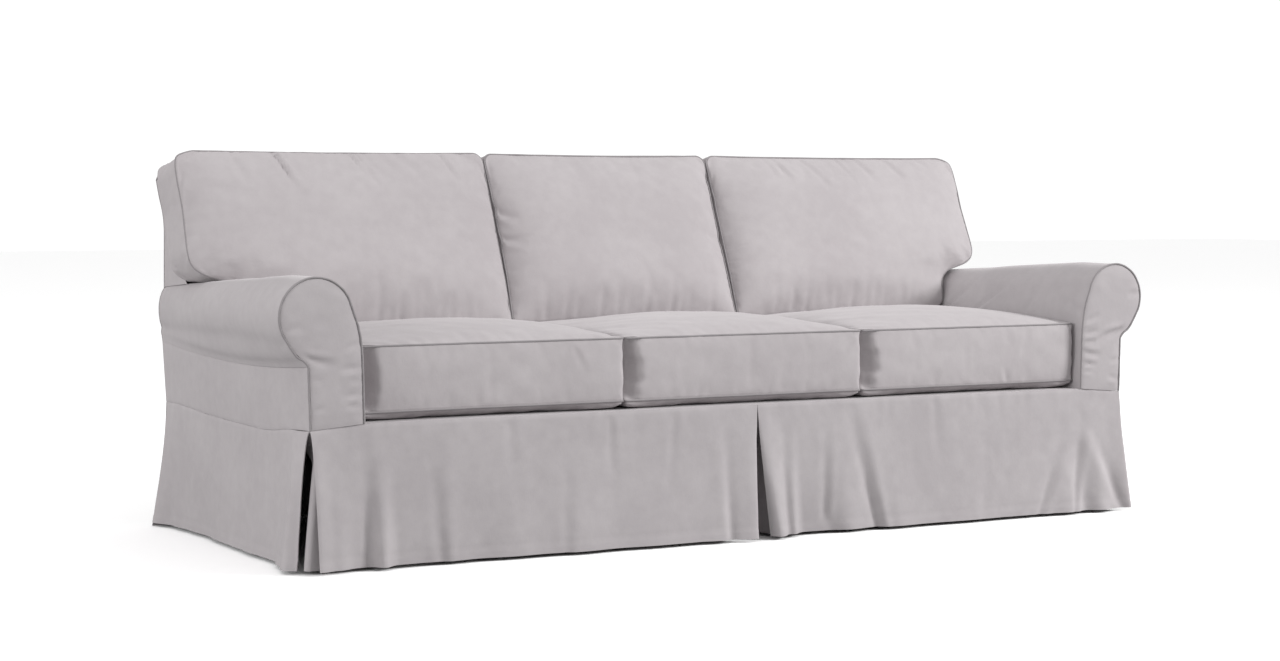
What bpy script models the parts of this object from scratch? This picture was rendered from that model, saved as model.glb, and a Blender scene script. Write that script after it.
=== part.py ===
"""Fitted slipcover for a three-seat roll-arm sofa, with its six filled cushions.

The cover is sewn from flat panels of cloth: deck, inside back, back top and
sides, outside back, and for each arm an over-arm panel, an outer side and a
piped front.  A skirt hangs from the seam round the base, in two front panels
parted by a kick pleat, with a pleat at each front corner.  The seat cushions
are boxed and piped round both faces.  The back cushions are raked, piped round
the front face, and the outer two have an ear that reaches over the arm.

Metres, +Z up, +X along the sofa, +Y to its back.  Every size below is measured
from the floor, the middle of the length and the middle of the base.  One empty
then carries all pieces, so that the world origin is the point under the top of
the back by which the sofa holds the cover.
"""

import math
from collections import namedtuple

import bmesh
import bpy
from mathutils import Vector

# ---------------------------------------------------------------- cloth
CLOTH = 0.002          # thickness of every panel
GAP = 0.0003           # between two pieces sewn to each other
WELT_RADIUS = 0.0022   # piping cord in its bias strip
WELT_SINK = 0.0006     # how far the piping's centre lies inside a sharp edge
WELT_SEAT = 0.005      # legs of the bevel that the piping lies in

# ---------------------------------------------------------------- base and seat
HALF_WIDTH = 1.05      # middle to the outer side at the skirt seam
FRONT = -0.424         # outer face of the cloth across the front
REAR = 0.430           # outer face of the back at the skirt seam
DECK_TOP = 0.310       # seat deck, level with the skirt seam between the arms
HEM = 0.016            # hem of the skirt above the floor
CORNER_DIP = 0.010     # how much lower the skirt seam lies at the outer corners

# ---------------------------------------------------------------- arms
ARM_INNER = 0.930      # middle to the inner face of an arm
Lean = namedtuple("Lean", "out z")
ARM_INNER_LEAN = (Lean(0.002, 0.40), Lean(0.005, 0.468), Lean(0.012, 0.508))
ROLL_X = 1.034         # centre of the roll across the sofa
ROLL_Z = 0.528
ROLL_RADIUS = 0.081
ROLL_FROM, ROLL_TO, ROLL_STEPS = 168.0, -38.0, 12   # degrees round the roll
ROLL_DROP = 0.0575     # drop of the arm's top for each metre to the back
TAPER_START, TAPER_END = -0.30, 0.4395
ROLL_OUTER_END = 0.026     # the roll's outer half draws in to this at the back
Tuck = namedtuple("Tuck", "up out out_end")
UNDER_ROLL = (Tuck(0.021, 0.027, 0.0060), Tuck(0.011, 0.012, 0.0045))  # over the seam
UNDER_ROLL_OUT = 0.0035    # the outer side leans out by this at its upper seam
FACING_INSET = 0.0039      # facing inside the arm's outline, leaves the piping its bed
FACING_CROWN = ((0.010, 0.0025), (0.018, 0.0015))   # (inset, rise) of each ring
WELT_IN_ARM = 0.0012       # the arm piping's centre inside the arm's outline

# ---------------------------------------------------------------- back of the sofa
BACK_FOOT = (0.2554, 0.487)    # a point (y, z) on the inside back
BACK_RAKE = math.radians(24.1)
BACK_HALF = 1.046              # middle to the outer face of a back side panel
Section = namedtuple("Section", "y z")
TOP_PROFILE = (Section(0.4161, 0.8455), Section(0.440, 0.836), Section(0.466, 0.8255),
               Section(0.488, 0.8165), Section(0.499, 0.807))
REAR_PROFILE = (Section(REAR, 0.300), Section(0.4405, 0.42), Section(0.450, 0.555),
                Section(0.4475, 0.66), Section(0.4475, 0.70), Section(0.4535, 0.725),
                Section(0.4635, 0.745), Section(0.4765, 0.765), Section(0.4975, 0.805))
SIDE_FROM = 0.60               # rear levels over this edge the back side panels
SLOPE_STEP = 0.012             # half the height over which the rear's slope is read
INSIDE_LEVEL = 0.70            # extra row of cloth up the inside back
RIDGE_GAP = 0.0022             # outside back below the turned edge of the top panel
SIDE_CLEAR = 0.0012            # back side panel above the arm's roll
ARM_CLEAR = 0.0016             # inside back from the arm it is cut round
HOLD_Y = 0.455                 # the cover hangs on the sofa's back under this line

# ---------------------------------------------------------------- seat cushions
PITCH = 0.6205                 # from one cushion's middle to the next
SEAT_FRONT, SEAT_REAR = -0.398, 0.181
SEAT_TOP, SEAT_BOTTOM = 0.4675, 0.3265     # sharp edges that the piping covers
SEAT_SIDE_ROOM = 0.0021        # boxing back from the line between two cushions
SEAT_ARM_ROOM = 0.0028         # boxing back from the arm
SEAT_CELLS = 8                 # each way
SEAT_DRAW = 0.004              # the sides draw in by this between the corners
SEAT_BULGE = 0.0016            # the boxing fills out by this at half height
SEAT_UNDER = 0.0157            # crown of the lower face
SEAT_PEAK_FORWARD = -0.12      # the crown peaks this share in front of the middle
SEAT_POWER, UNDER_POWER = 2.6, 3.0     # the higher, the fuller near the edges
SeatForm = namedtuple("SeatForm", "crown peak")
SEATS = {"left": SeatForm(0.0340, -0.10),
         "mid": SeatForm(0.0355, 0.05),
         "right": SeatForm(0.0360, 0.12)}
SEAT_PRESSED = 0.0172          # height of the crown under the back cushions
PRESSED_FROM, PRESSED_RUN = 0.02, 0.08

# ---------------------------------------------------------------- back cushions
LEAN = math.radians(22.6)      # rake of the piped front face
BACK_FRONT_FOOT = (0.130, 0.4870)  # (y, z) of the lower front edge
BACK_THICK = 0.1250            # from the front edge straight back
TOP_FALL = math.radians(12.0)  # the top boxing falls towards the back
FULL_FALL = 0.45               # and so does all boxing above this share of the height
EarRow = namedtuple("EarRow", "up out")
EAR = (EarRow(0.000, 0.926), EarRow(0.017, 0.940), EarRow(0.045, 0.949), EarRow(0.079, 0.959),
       EarRow(0.090, 0.969), EarRow(0.101, 0.986), EarRow(0.1085, 1.010), EarRow(0.117, 1.038),
       EarRow(0.130, 1.061), EarRow(0.146, 1.073), EarRow(0.168, 1.077), EarRow(0.215, 1.076),
       EarRow(0.277, 1.074), EarRow(0.346, 1.076), EarRow(0.390, 1.074), EarRow(0.407, 1.067),
       EarRow(0.417, 1.050))
EAR_CLEAR = 0.0040             # ear above the arm where it reaches over the roll
EAR_FROM = 0.885               # the ear's columns start here and close up below it
EAR_COLUMNS = 3
PLAIN_ROWS = (0.0, 0.012, 0.060, 0.125, 0.195, 0.265, 0.335, 0.390, 0.407, 0.417)
EDGE_ROUND = 0.012             # corner radius of a plain cushion
BACK_SAG = 0.003               # dip of the top edge in its middle
BACK_DRAW = 0.004              # the sides of the middle cushion draw in by this
BACK_BULGE = 0.0010            # the boxing fills out by this at half depth
BACK_POWER = 2.4
BACK_CELLS, EAR_CELLS = 8, 9   # across the middle and the outer cushions
EAR_EDGE = 0.04                # share of the width in an outer cushion's last column
NEAR_TOP = 0.008               # rows this close to the top still round the corner
BackForm = namedtuple("BackForm", "crown height_of_peak side_of_peak")
BACKS = {"left": BackForm(0.050, 0.40, 0.05),
         "mid": BackForm(0.046, 0.38, -0.05),
         "right": BackForm(0.050, 0.40, -0.08)}

# ---------------------------------------------------------------- skirt
# at: place along the hem, out: how far the hem stands off the seam line there,
# start: share of the drop that still hangs straight
Fold = namedtuple("Fold", "at out start")
FRONT_LEFT = (Fold(-1.036, 0.017, 0.00), Fold(-0.990, 0.006, 0.20), Fold(-0.938, -0.010, 0.12),
              Fold(-0.893, 0.011, 0.12), Fold(-0.850, -0.008, 0.12), Fold(-0.795, -0.010, 0.10),
              Fold(-0.730, -0.002, 0.30), Fold(-0.665, -0.008, 0.30), Fold(-0.580, 0.003, 0.25),
              Fold(-0.510, 0.001, 0.40), Fold(-0.430, 0.012, 0.20), Fold(-0.340, 0.004, 0.25),
              Fold(-0.235, 0.012, 0.30), Fold(-0.140, 0.008, 0.35), Fold(-0.090, 0.017, 0.20),
              Fold(-0.055, 0.012, 0.15), Fold(-0.001, 0.031, 0.00))
FRONT_RIGHT = (Fold(0.043, 0.010, 0.00), Fold(0.061, 0.027, 0.00), Fold(0.105, 0.004, 0.10),
               Fold(0.150, -0.016, 0.10), Fold(0.210, -0.014, 0.15), Fold(0.268, 0.003, 0.10),
               Fold(0.325, -0.006, 0.30), Fold(0.400, 0.008, 0.25), Fold(0.500, 0.002, 0.40),
               Fold(0.600, 0.006, 0.40), Fold(0.700, 0.001, 0.30), Fold(0.830, 0.002, 0.40),
               Fold(0.905, 0.012, 0.35), Fold(0.952, -0.005, 0.10), Fold(1.000, 0.014, 0.05),
               Fold(1.045, -0.003, 0.10), Fold(1.088, 0.010, 0.00))
SIDE_LEFT = (Fold(-0.396, 0.019, 0.00), Fold(-0.374, 0.040, 0.05), Fold(-0.300, 0.021, 0.10),
             Fold(-0.235, 0.004, 0.20), Fold(-0.165, 0.002, 0.30), Fold(-0.090, 0.006, 0.40),
             Fold(-0.020, 0.000, 0.30), Fold(0.055, -0.002, 0.40), Fold(0.130, -0.005, 0.35),
             Fold(0.205, -0.012, 0.30), Fold(0.310, -0.009, 0.30), Fold(0.406, -0.003, 0.20),
             Fold(0.4832, 0.017, 0.00))
SIDE_RIGHT = (Fold(-0.380, 0.078, 0.00), Fold(-0.345, 0.082, 0.05), Fold(-0.285, 0.053, 0.10),
              Fold(-0.220, 0.025, 0.15), Fold(-0.155, 0.008, 0.20), Fold(-0.080, 0.006, 0.40),
              Fold(-0.010, -0.003, 0.30), Fold(0.060, 0.001, 0.40), Fold(0.130, 0.004, 0.40),
              Fold(0.215, -0.008, 0.30), Fold(0.310, -0.004, 0.30), Fold(0.406, -0.002, 0.20),
              Fold(0.4832, 0.017, 0.00))
BACK_FOLDS = (Fold(-1.067, 0.057, 0.00), Fold(-0.860, 0.034, 0.15), Fold(-0.640, 0.044, 0.25),
              Fold(-0.420, 0.030, 0.20), Fold(-0.200, 0.042, 0.25), Fold(0.010, 0.032, 0.20),
              Fold(0.230, 0.043, 0.25), Fold(0.450, 0.031, 0.20), Fold(0.650, 0.044, 0.25),
              Fold(0.870, 0.034, 0.15), Fold(1.067, 0.057, 0.00))
FOLD_COLUMNS = 2       # columns of cloth from one row of a fold table to the next
FOLD_ROWS = 6
PANELS_MEET = 0.012    # where the two front panels meet at the seam
SMALL_FOLD = 0.0125    # a shallower fold shows soon under the seam
EARLY_SMALL, EARLY_LARGE = 0.65, 0.45
OPEN_EDGE = 0.85       # the open edges at the pleats hang this straight
OPEN_REACH = 0.10      # and that fades over this distance
SeamPoint = namedtuple("SeamPoint", "y z")
INNER_FRONT = FRONT + CLOTH + GAP      # front edge of what meets the front panels
INNER_REAR = REAR - CLOTH - GAP
SIDE_SEAM = (SeamPoint(INNER_FRONT, 0.3000), SeamPoint(-0.360, 0.2975), SeamPoint(-0.300, 0.2945),
             SeamPoint(-0.235, 0.2875), SeamPoint(-0.170, 0.2840), SeamPoint(-0.100, 0.2848),
             SeamPoint(-0.030, 0.2860), SeamPoint(0.045, 0.2872), SeamPoint(0.120, 0.2893),
             SeamPoint(0.195, 0.2918), SeamPoint(0.270, 0.2965), SeamPoint(0.350, 0.2998),
             SeamPoint(INNER_REAR, 0.3000))
UNDER_ROLL_SEAM = (SeamPoint(INNER_FRONT, 0.4280), SeamPoint(-0.300, 0.4210),
                   SeamPoint(-0.170, 0.4160), SeamPoint(-0.030, 0.4150),
                   SeamPoint(0.120, 0.4185), SeamPoint(0.270, 0.4255),
                   SeamPoint(0.4395, 0.4380))

# ---------------------------------------------------------------- kick pleats
PLEAT_MIDDLE = PANELS_MEET     # middle of the piece behind the opening
PLEAT_HALF = 0.075             # its half width
PLEAT_MIDDLE_BACK = 0.0048     # how far its sides hang behind the skirt at the hem
PleatPoint = namedtuple("PleatPoint", "at deep")
PLEAT_FOLD = (PleatPoint(-1.0, 0.0), PleatPoint(-0.80, 0.0), PleatPoint(-0.66, 0.45),
              PleatPoint(-0.55, 0.95), PleatPoint(-0.20, 1.0), PleatPoint(0.20, 1.0),
              PleatPoint(0.55, 0.95), PleatPoint(0.66, 0.45), PleatPoint(0.80, 0.0),
              PleatPoint(1.0, 0.0))
PLEAT_DEEP = 0.055             # how far its middle folds in at the hem
PLEAT_DROP = 0.001             # its top hangs this far below the deck's underside
PLEAT_ROWS = 6
PLEAT_BACK = 0.012             # how far the corner pieces hang behind the skirt
CORNER_OUT = 0.0065            # and how far their fold stands out to the side
CORNER_REACH = 0.085           # the corner piece runs this far behind each panel
CORNER_SWING = 0.062           # its side leg folds in this far at its end
CORNER_STEPS = 4               # rounding of its fold
CORNER_ROUND = 0.012

CLOTH_COLOUR = (0.56, 0.525, 0.525, 1.0)
CUSHION_COLOUR = (0.58, 0.545, 0.545, 1.0)
WELT_COLOUR = (0.47, 0.44, 0.44, 1.0)
CLOTH_ROUGHNESS = 0.92


# ---------------------------------------------------------------- scene helpers
def clear_scene():
    for item in list(bpy.data.objects):
        bpy.data.objects.remove(item, do_unlink=True)


def cloth_material(name, colour):
    material = bpy.data.materials.new(name)
    material.use_nodes = True
    shader = material.node_tree.nodes["Principled BSDF"]
    shader.inputs["Base Color"].default_value = colour
    shader.inputs["Roughness"].default_value = CLOTH_ROUGHNESS
    shader.inputs["Metallic"].default_value = 0.0
    return material


class Cover:
    """The collection and the empty that carry all pieces."""

    def __init__(self, hold_point):
        self.pieces = bpy.data.collections.new("sofa_slipcover")
        bpy.context.scene.collection.children.link(self.pieces)
        self.carrier = bpy.data.objects.new("hold_point", None)
        self.carrier.location = -hold_point
        self.pieces.objects.link(self.carrier)

    def add(self, name, data, colour):
        piece = bpy.data.objects.new(name, data)
        piece.data.materials.append(cloth_material(name + "_cloth", colour))
        piece.parent = self.carrier
        self.pieces.objects.link(piece)
        return piece

    def add_mesh(self, name, bm, colour):
        mesh = bpy.data.meshes.new(name)
        bm.to_mesh(mesh)
        bm.free()
        mesh.shade_smooth()
        mesh.set_sharp_from_angle(angle=math.radians(50))
        return self.add(name, mesh, colour)

    def sheet(self, name, columns, rows, place, flip=False):
        """A grid of cloth: place(u, t) gives the outer face, 0 to 1 each way."""
        bm = bmesh.new()
        bmesh.ops.create_grid(bm, x_segments=columns, y_segments=rows, size=0.5)
        for vert in bm.verts:
            vert.co = Vector(place(vert.co.x + 0.5, vert.co.y + 0.5))
        if flip:
            bmesh.ops.reverse_faces(bm, faces=bm.faces)
        return self.thicken(self.add_mesh(name, bm, CLOTH_COLOUR))

    def thicken(self, piece):
        """Cloth grows inwards from its outer face."""
        wall = piece.modifiers.new("cloth", "SOLIDIFY")
        wall.thickness = CLOTH
        wall.offset = -1.0
        return piece

    def welt(self, name, points, closed):
        """Piping: a thin cord along the points."""
        curve = bpy.data.curves.new(name, "CURVE")
        curve.dimensions = "3D"
        curve.bevel_depth = WELT_RADIUS
        curve.bevel_resolution = 1
        curve.use_fill_caps = True
        spline = curve.splines.new("POLY")
        spline.points.add(len(points) - 1)
        for target, point in zip(spline.points, points):
            target.co = (*point, 1.0)
        spline.use_cyclic_u = closed
        return self.add(name, curve, WELT_COLOUR)


# ---------------------------------------------------------------- small geometry
def blend(rows, place, keys="at", value="z"):
    """Smooth value between the rows of a table, level at each row."""
    spots = [getattr(row, keys) for row in rows]
    values = [getattr(row, value) for row in rows]
    if place <= spots[0]:
        return values[0]
    for low in range(len(rows) - 1):
        if place <= spots[low + 1]:
            share = (place - spots[low]) / (spots[low + 1] - spots[low])
            share = share * share * (3.0 - 2.0 * share)
            return values[low] + (values[low + 1] - values[low]) * share
    return values[-1]


def between(rows, place, keys, value):
    """Straight-line value between the rows of a table."""
    spots = [getattr(row, keys) for row in rows]
    values = [getattr(row, value) for row in rows]
    for low in range(len(rows) - 1):
        if place <= spots[low + 1]:
            share = (place - spots[low]) / (spots[low + 1] - spots[low])
            return values[low] + (values[low + 1] - values[low]) * share
    return values[-1]


def offset_path(points, distance, closed):
    """Move a counter-clockwise outline inwards, with mitred corners."""
    moved = []
    count = len(points)
    for index, point in enumerate(points):
        before = points[index - 1] if closed or index > 0 else None
        after = points[(index + 1) % count] if closed or index < count - 1 else None
        normals = []
        for start, end in ((before, point), (point, after)):
            if start is not None and end is not None:
                run = (Vector(end) - Vector(start)).normalized()
                normals.append(Vector((-run.y, run.x)))
        mid = sum(normals, Vector((0.0, 0.0))).normalized()
        moved.append(Vector(point) + mid * (distance / max(mid.dot(normals[0]), 0.4)))
    return moved


def rim(columns, rows):
    """Lattice points round a face, counter-clockwise."""
    ring = [(i, 0) for i in range(columns)]
    ring += [(columns, j) for j in range(rows)]
    ring += [(i, rows) for i in range(columns, 0, -1)]
    ring += [(0, j) for j in range(rows, 0, -1)]
    return ring


def lattice_box(cells, place):
    """A cube cut into cells; place(i, j, k) gives each surface point."""
    bm = bmesh.new()
    bmesh.ops.create_cube(bm, size=2.0)
    for axis, count in enumerate(cells):
        whole = [edge for edge in bm.edges
                 if abs(edge.verts[0].co[axis] - edge.verts[1].co[axis]) > 1.99]
        bmesh.ops.subdivide_edges(bm, edges=whole, cuts=count - 1, use_grid_fill=True)
    for vert in bm.verts:
        steps = [round((vert.co[axis] + 1.0) / 2.0 * cells[axis]) for axis in range(3)]
        vert.co = Vector(place(*steps))
    return bm


# ---------------------------------------------------------------- seams and profiles
def front_seam(x):
    """Height of the skirt seam across the front."""
    past = max(0.0, (abs(x) - ARM_INNER) / (HALF_WIDTH - ARM_INNER))
    return DECK_TOP - CORNER_DIP * min(past, 1.0)


def side_seam(y):
    return between(SIDE_SEAM, y, "y", "z")


def under_roll_seam(y):
    return between(UNDER_ROLL_SEAM, y, "y", "z")


def inside_back_y(z):
    foot_y, foot_z = BACK_FOOT
    return foot_y + (z - foot_z) * math.tan(BACK_RAKE)


def rear_y(z):
    return between(REAR_PROFILE, z, "z", "y")


def before_rear(z):
    """Where a piece ends that is sewn to the inner face of the outside back."""
    slope = (rear_y(z + SLOPE_STEP) - rear_y(z - SLOPE_STEP)) / (2.0 * SLOPE_STEP)
    return rear_y(z) - CLOTH * math.hypot(1.0, 1.3 * slope) - GAP


def top_z(y):
    return between(TOP_PROFILE, y, "y", "z")


def roll_shape(y):
    """Height of the roll's middle, half its height and its outer half width at y."""
    run = max(0.0, min(y, TAPER_END) - TAPER_START)
    lower = run * ROLL_DROP / 2.0
    outer = ROLL_RADIUS + (ROLL_OUTER_END - ROLL_RADIUS) * run / (TAPER_END - TAPER_START)
    return ROLL_Z - lower, ROLL_RADIUS - lower, outer


def arm_top(x, y):
    """Height of the arm's cloth under a point at x, y above the roll."""
    middle, high, outer = roll_shape(y)
    off = (abs(x) - ROLL_X) / (outer if abs(x) > ROLL_X else ROLL_RADIUS)
    return middle + high * math.sqrt(max(0.0, 1.0 - off * off))


def arm_profile(y):
    """Outer face of an arm at y, from the deck over the roll to the seam under it."""
    middle, high, outer = roll_shape(y)
    seam = under_roll_seam(y)
    share = (ROLL_RADIUS - outer) / (ROLL_RADIUS - ROLL_OUTER_END)
    points = [(ARM_INNER, DECK_TOP - CLOTH)]
    points += [(ARM_INNER + row.out, row.z + middle - ROLL_Z) for row in ARM_INNER_LEAN]
    for step in range(ROLL_STEPS + 1):
        angle = math.radians(ROLL_FROM + (ROLL_TO - ROLL_FROM) * step / ROLL_STEPS)
        across = math.cos(angle)
        points.append((ROLL_X + across * (outer if across > 0.0 else ROLL_RADIUS),
                       middle + high * math.sin(angle)))
    points += [(HALF_WIDTH + row.out + (row.out_end - row.out) * share, seam + row.up)
               for row in UNDER_ROLL]
    points.append((HALF_WIDTH + UNDER_ROLL_OUT, seam + GAP / 2.0))
    return points


# ---------------------------------------------------------------- the cover's panels
def build_deck(cover):
    rear = inside_back_y(DECK_TOP - CLOTH) - GAP
    half = ARM_INNER - GAP
    cover.sheet("deck", 1, 1, lambda u, t: (half * (2.0 * u - 1.0),
                                            INNER_FRONT + (rear - INNER_FRONT) * t, DECK_TOP))


def build_inside_back(cover):
    """Raked panel, narrow between the arms and wide above them."""
    over_arm = [(x - ARM_CLEAR, z + ARM_CLEAR) for x, z in arm_profile(inside_back_y(ROLL_Z))
                if x < ROLL_X + GAP]
    wide = BACK_HALF - CLOTH - GAP
    top = TOP_PROFILE[0].z - RIDGE_GAP - CLOTH
    levels = [(ARM_INNER - GAP, DECK_TOP - CLOTH)] + over_arm[1:]
    levels += [(wide, over_arm[-1][1] + 2.0 * ARM_CLEAR), (wide, INSIDE_LEVEL), (wide, top)]

    def place(u, t):
        half, z = levels[round(t * (len(levels) - 1))]
        return half * (2.0 * u - 1.0), inside_back_y(z), z

    cover.sheet("inside_back", 4, len(levels) - 1, place)


def build_back_top(cover):
    count = len(TOP_PROFILE) - 1

    def place(u, t):
        row = TOP_PROFILE[round(t * count)]
        return BACK_HALF * (2.0 * u - 1.0), row.y, row.z

    cover.sheet("back_top", 6, count, place)


def build_back_side(cover, side, name):
    """Narrow panel between the inside and the outside back, above the arm."""
    def foot(y):
        return arm_top(BACK_HALF - CLOTH, y) + SIDE_CLEAR

    rear_levels = [foot(TAPER_END)] + [row.z for row in REAR_PROFILE if row.z > SIDE_FROM]
    rear_levels[-1] = TOP_PROFILE[-1].z - RIDGE_GAP
    front_top = TOP_PROFILE[0].z - RIDGE_GAP - CLOTH
    front_foot = foot(inside_back_y(ROLL_Z))
    last = len(rear_levels) - 1

    def place(u, t):
        level = round(t * last)
        z = front_foot + (front_top - front_foot) * t
        near, far = inside_back_y(z), before_rear(rear_levels[level])
        y = near + (far - near) * u
        z = z + (rear_levels[level] - z) * u
        if level == 0:
            z = foot(y)
        return side * BACK_HALF, y, min(z, top_z(y) - CLOTH - RIDGE_GAP)

    cover.sheet("back_side_" + name, 3, last, place, flip=side < 0)


def build_outside_back(cover):
    """One panel over the whole rear, out round the ends of the arm rolls."""
    roll = [(x, z) for x, z in reversed(arm_profile(TAPER_END)) if x > BACK_HALF + GAP]
    levels = [(HALF_WIDTH, REAR_PROFILE[0].z + GAP),
              (HALF_WIDTH + UNDER_ROLL_OUT / 2.0, (REAR_PROFILE[0].z + roll[0][1]) / 2.0)] + roll
    levels += [(BACK_HALF, arm_top(BACK_HALF, TAPER_END))]
    levels += [(BACK_HALF, row.z) for row in REAR_PROFILE if row.z > SIDE_FROM]

    def place(u, t):
        half, z = levels[round(t * (len(levels) - 1))]
        z = min(z, TOP_PROFILE[-1].z - RIDGE_GAP)
        return half * (1.0 - 2.0 * u), rear_y(z), z

    cover.sheet("outside_back", 4, len(levels) - 1, place)


def build_arm(cover, side, name):
    """Over-arm panel from the deck, over the roll, to the seam under it."""
    last = len(UNDER_ROLL_SEAM) - 1
    count = len(arm_profile(0.0)) - 1

    def place(u, t):
        section = round(u * last)
        y = UNDER_ROLL_SEAM[section].y
        x, z = arm_profile(y)[round(t * count)]
        return side * x, before_rear(z) if section == last else y, z

    cover.sheet("arm_" + name, last, count, place, flip=side > 0)


def build_arm_outer(cover, side, name):
    """Flat outer side between the seam under the roll and the skirt."""
    last = len(SIDE_SEAM) - 1

    def place(u, t):
        section = round(u * last)
        y, low = SIDE_SEAM[section]
        high = under_roll_seam(UNDER_ROLL_SEAM[-1].y if section == last else y)
        z = low + GAP + (high - low - 1.5 * GAP) * t
        if section == last:
            y = before_rear(z)
        return side * (HALF_WIDTH + UNDER_ROLL_OUT * t), y, z

    cover.sheet("arm_outer_" + name, last, 2, place, flip=side < 0)


def arm_front_line():
    """The arm's outline seen from the front, without its straight foot."""
    line = arm_profile(FRONT)
    line[0] = (ARM_INNER, front_seam(ARM_INNER) + GAP)
    line.append((HALF_WIDTH, front_seam(HALF_WIDTH) + GAP))
    return line


def build_arm_front(cover, side, name):
    """Facing of the arm, a little crowned, inside its piping."""
    line = list(reversed(arm_front_line()))
    inner = offset_path(line, FACING_INSET, closed=True)
    for end in (0, -1):
        inner[end].y = front_seam(inner[end].x) + GAP
    bm = bmesh.new()
    corners = [bm.verts.new((side * x, FRONT, z)) for x, z in inner]
    face = bm.faces.new(corners)
    face.normal_update()
    if face.normal.y > 0.0:
        bmesh.ops.reverse_faces(bm, faces=[face])
    for thickness, rise in FACING_CROWN:
        bmesh.ops.inset_region(bm, faces=[face], thickness=thickness, depth=rise,
                               use_boundary=True, use_even_offset=True)
    cover.thicken(cover.add_mesh("arm_front_" + name, bm, CLOTH_COLOUR))
    path = offset_path(line, WELT_IN_ARM, closed=False)
    depth = INNER_FRONT - WELT_RADIUS - GAP
    points = [(side * p.x, depth, p.y) for p in path]
    points[0] = (points[0][0], depth, points[0][2] + GAP)
    points[-1] = (points[-1][0], depth, points[-1][2] + GAP)
    cover.welt("arm_welt_" + name, points, closed=False)


# ---------------------------------------------------------------- the skirt
def hem_stand_off(folds, at, fall):
    """How far the cloth stands off the seam line, fall 0 at the seam, 1 at the hem."""
    rows = []
    for row in folds:
        share = max(0.0, (fall - row.start) / (1.0 - row.start))
        early = EARLY_SMALL if abs(row.out) < SMALL_FOLD else EARLY_LARGE
        rows.append(Fold(row.at, row.out * (ease(share) * (1.0 - early) + share * early), 0.0))
    return blend(rows, at, keys="at", value="out")


def flare(at, fall, ends):
    """Share of its way out along the hem; the open ends hang straight from the seam."""
    near = OPEN_EDGE * max(math.exp(-((at - end) / OPEN_REACH) ** 2) for end in ends)
    return ease(fall) * (1.0 - near) + fall * near


def ease(share):
    """Cloth leaves the seam gently and then runs straight down to the hem."""
    share = max(0.0, share)
    return share * share * (1.6 - 0.6 * share)


def hem_place(folds, u):
    """Place along the hem: the columns of cloth follow the rows of the table."""
    along = u * (len(folds) - 1)
    row = min(int(along + 1e-6), len(folds) - 2)
    return folds[row].at + (folds[row + 1].at - folds[row].at) * (along - row)


def build_skirt_front(cover, folds, name, seam_from, seam_to):
    def place(u, t):
        fall = 1.0 - t
        at = hem_place(folds, u)
        share = (at - folds[0].at) / (folds[-1].at - folds[0].at)
        seam = seam_from + (seam_to - seam_from) * share
        x = seam + (at - seam) * flare(at, fall, (folds[0].at, folds[-1].at))
        top = front_seam(seam)
        return x, FRONT - hem_stand_off(folds, at, fall), top + (HEM - top) * fall

    cover.sheet("skirt_front_" + name, FOLD_COLUMNS * (len(folds) - 1), FOLD_ROWS, place)


def build_skirt_side(cover, folds, side, name):
    last = len(SIDE_SEAM) - 1

    def place(u, t):
        fall = 1.0 - t
        at = hem_place(folds, u)
        low = min(int(u * last + 1e-6), last - 1)
        share = u * last - low
        seam = SIDE_SEAM[low].y + (SIDE_SEAM[low + 1].y - SIDE_SEAM[low].y) * share
        y = seam + (at - seam) * flare(at, fall, (folds[0].at,))
        top = side_seam(seam)
        out = hem_stand_off(folds, at, fall)
        return side * (HALF_WIDTH + out), y, top + (HEM - top) * fall

    cover.sheet("skirt_side_" + name, FOLD_COLUMNS * last, FOLD_ROWS, place, flip=side < 0)


def build_skirt_back(cover):
    def place(u, t):
        fall = 1.0 - t
        at = hem_place(BACK_FOLDS, 1.0 - u)
        seam = HALF_WIDTH * at / BACK_FOLDS[-1].at
        x = seam + (at - seam) * ease(fall)
        top = REAR_PROFILE[0].z
        return x, REAR + hem_stand_off(BACK_FOLDS, at, fall), top + (HEM - top) * fall

    cover.sheet("skirt_back", FOLD_COLUMNS * (len(BACK_FOLDS) - 1), FOLD_ROWS, place)


def pleat_depth(fall):
    """A pleat folds in from nothing at the seam to its whole depth half way down."""
    share = min(1.0, 2.0 * fall)
    return share * share * (3.0 - 2.0 * share)


def build_pleat_middle(cover):
    """Piece behind the opening between the two front panels, its middle folded in."""
    def place(u, t):
        fall = 1.0 - t
        top = DECK_TOP - CLOTH - GAP - PLEAT_DROP
        point = PLEAT_FOLD[round(u * (len(PLEAT_FOLD) - 1))]
        y = INNER_FRONT + PLEAT_MIDDLE_BACK * fall + PLEAT_DEEP * point.deep * pleat_depth(fall)
        return PLEAT_MIDDLE + PLEAT_HALF * point.at, y, top + (HEM - top) * fall

    cover.sheet("pleat_middle", len(PLEAT_FOLD) - 1, PLEAT_ROWS, place)


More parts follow.
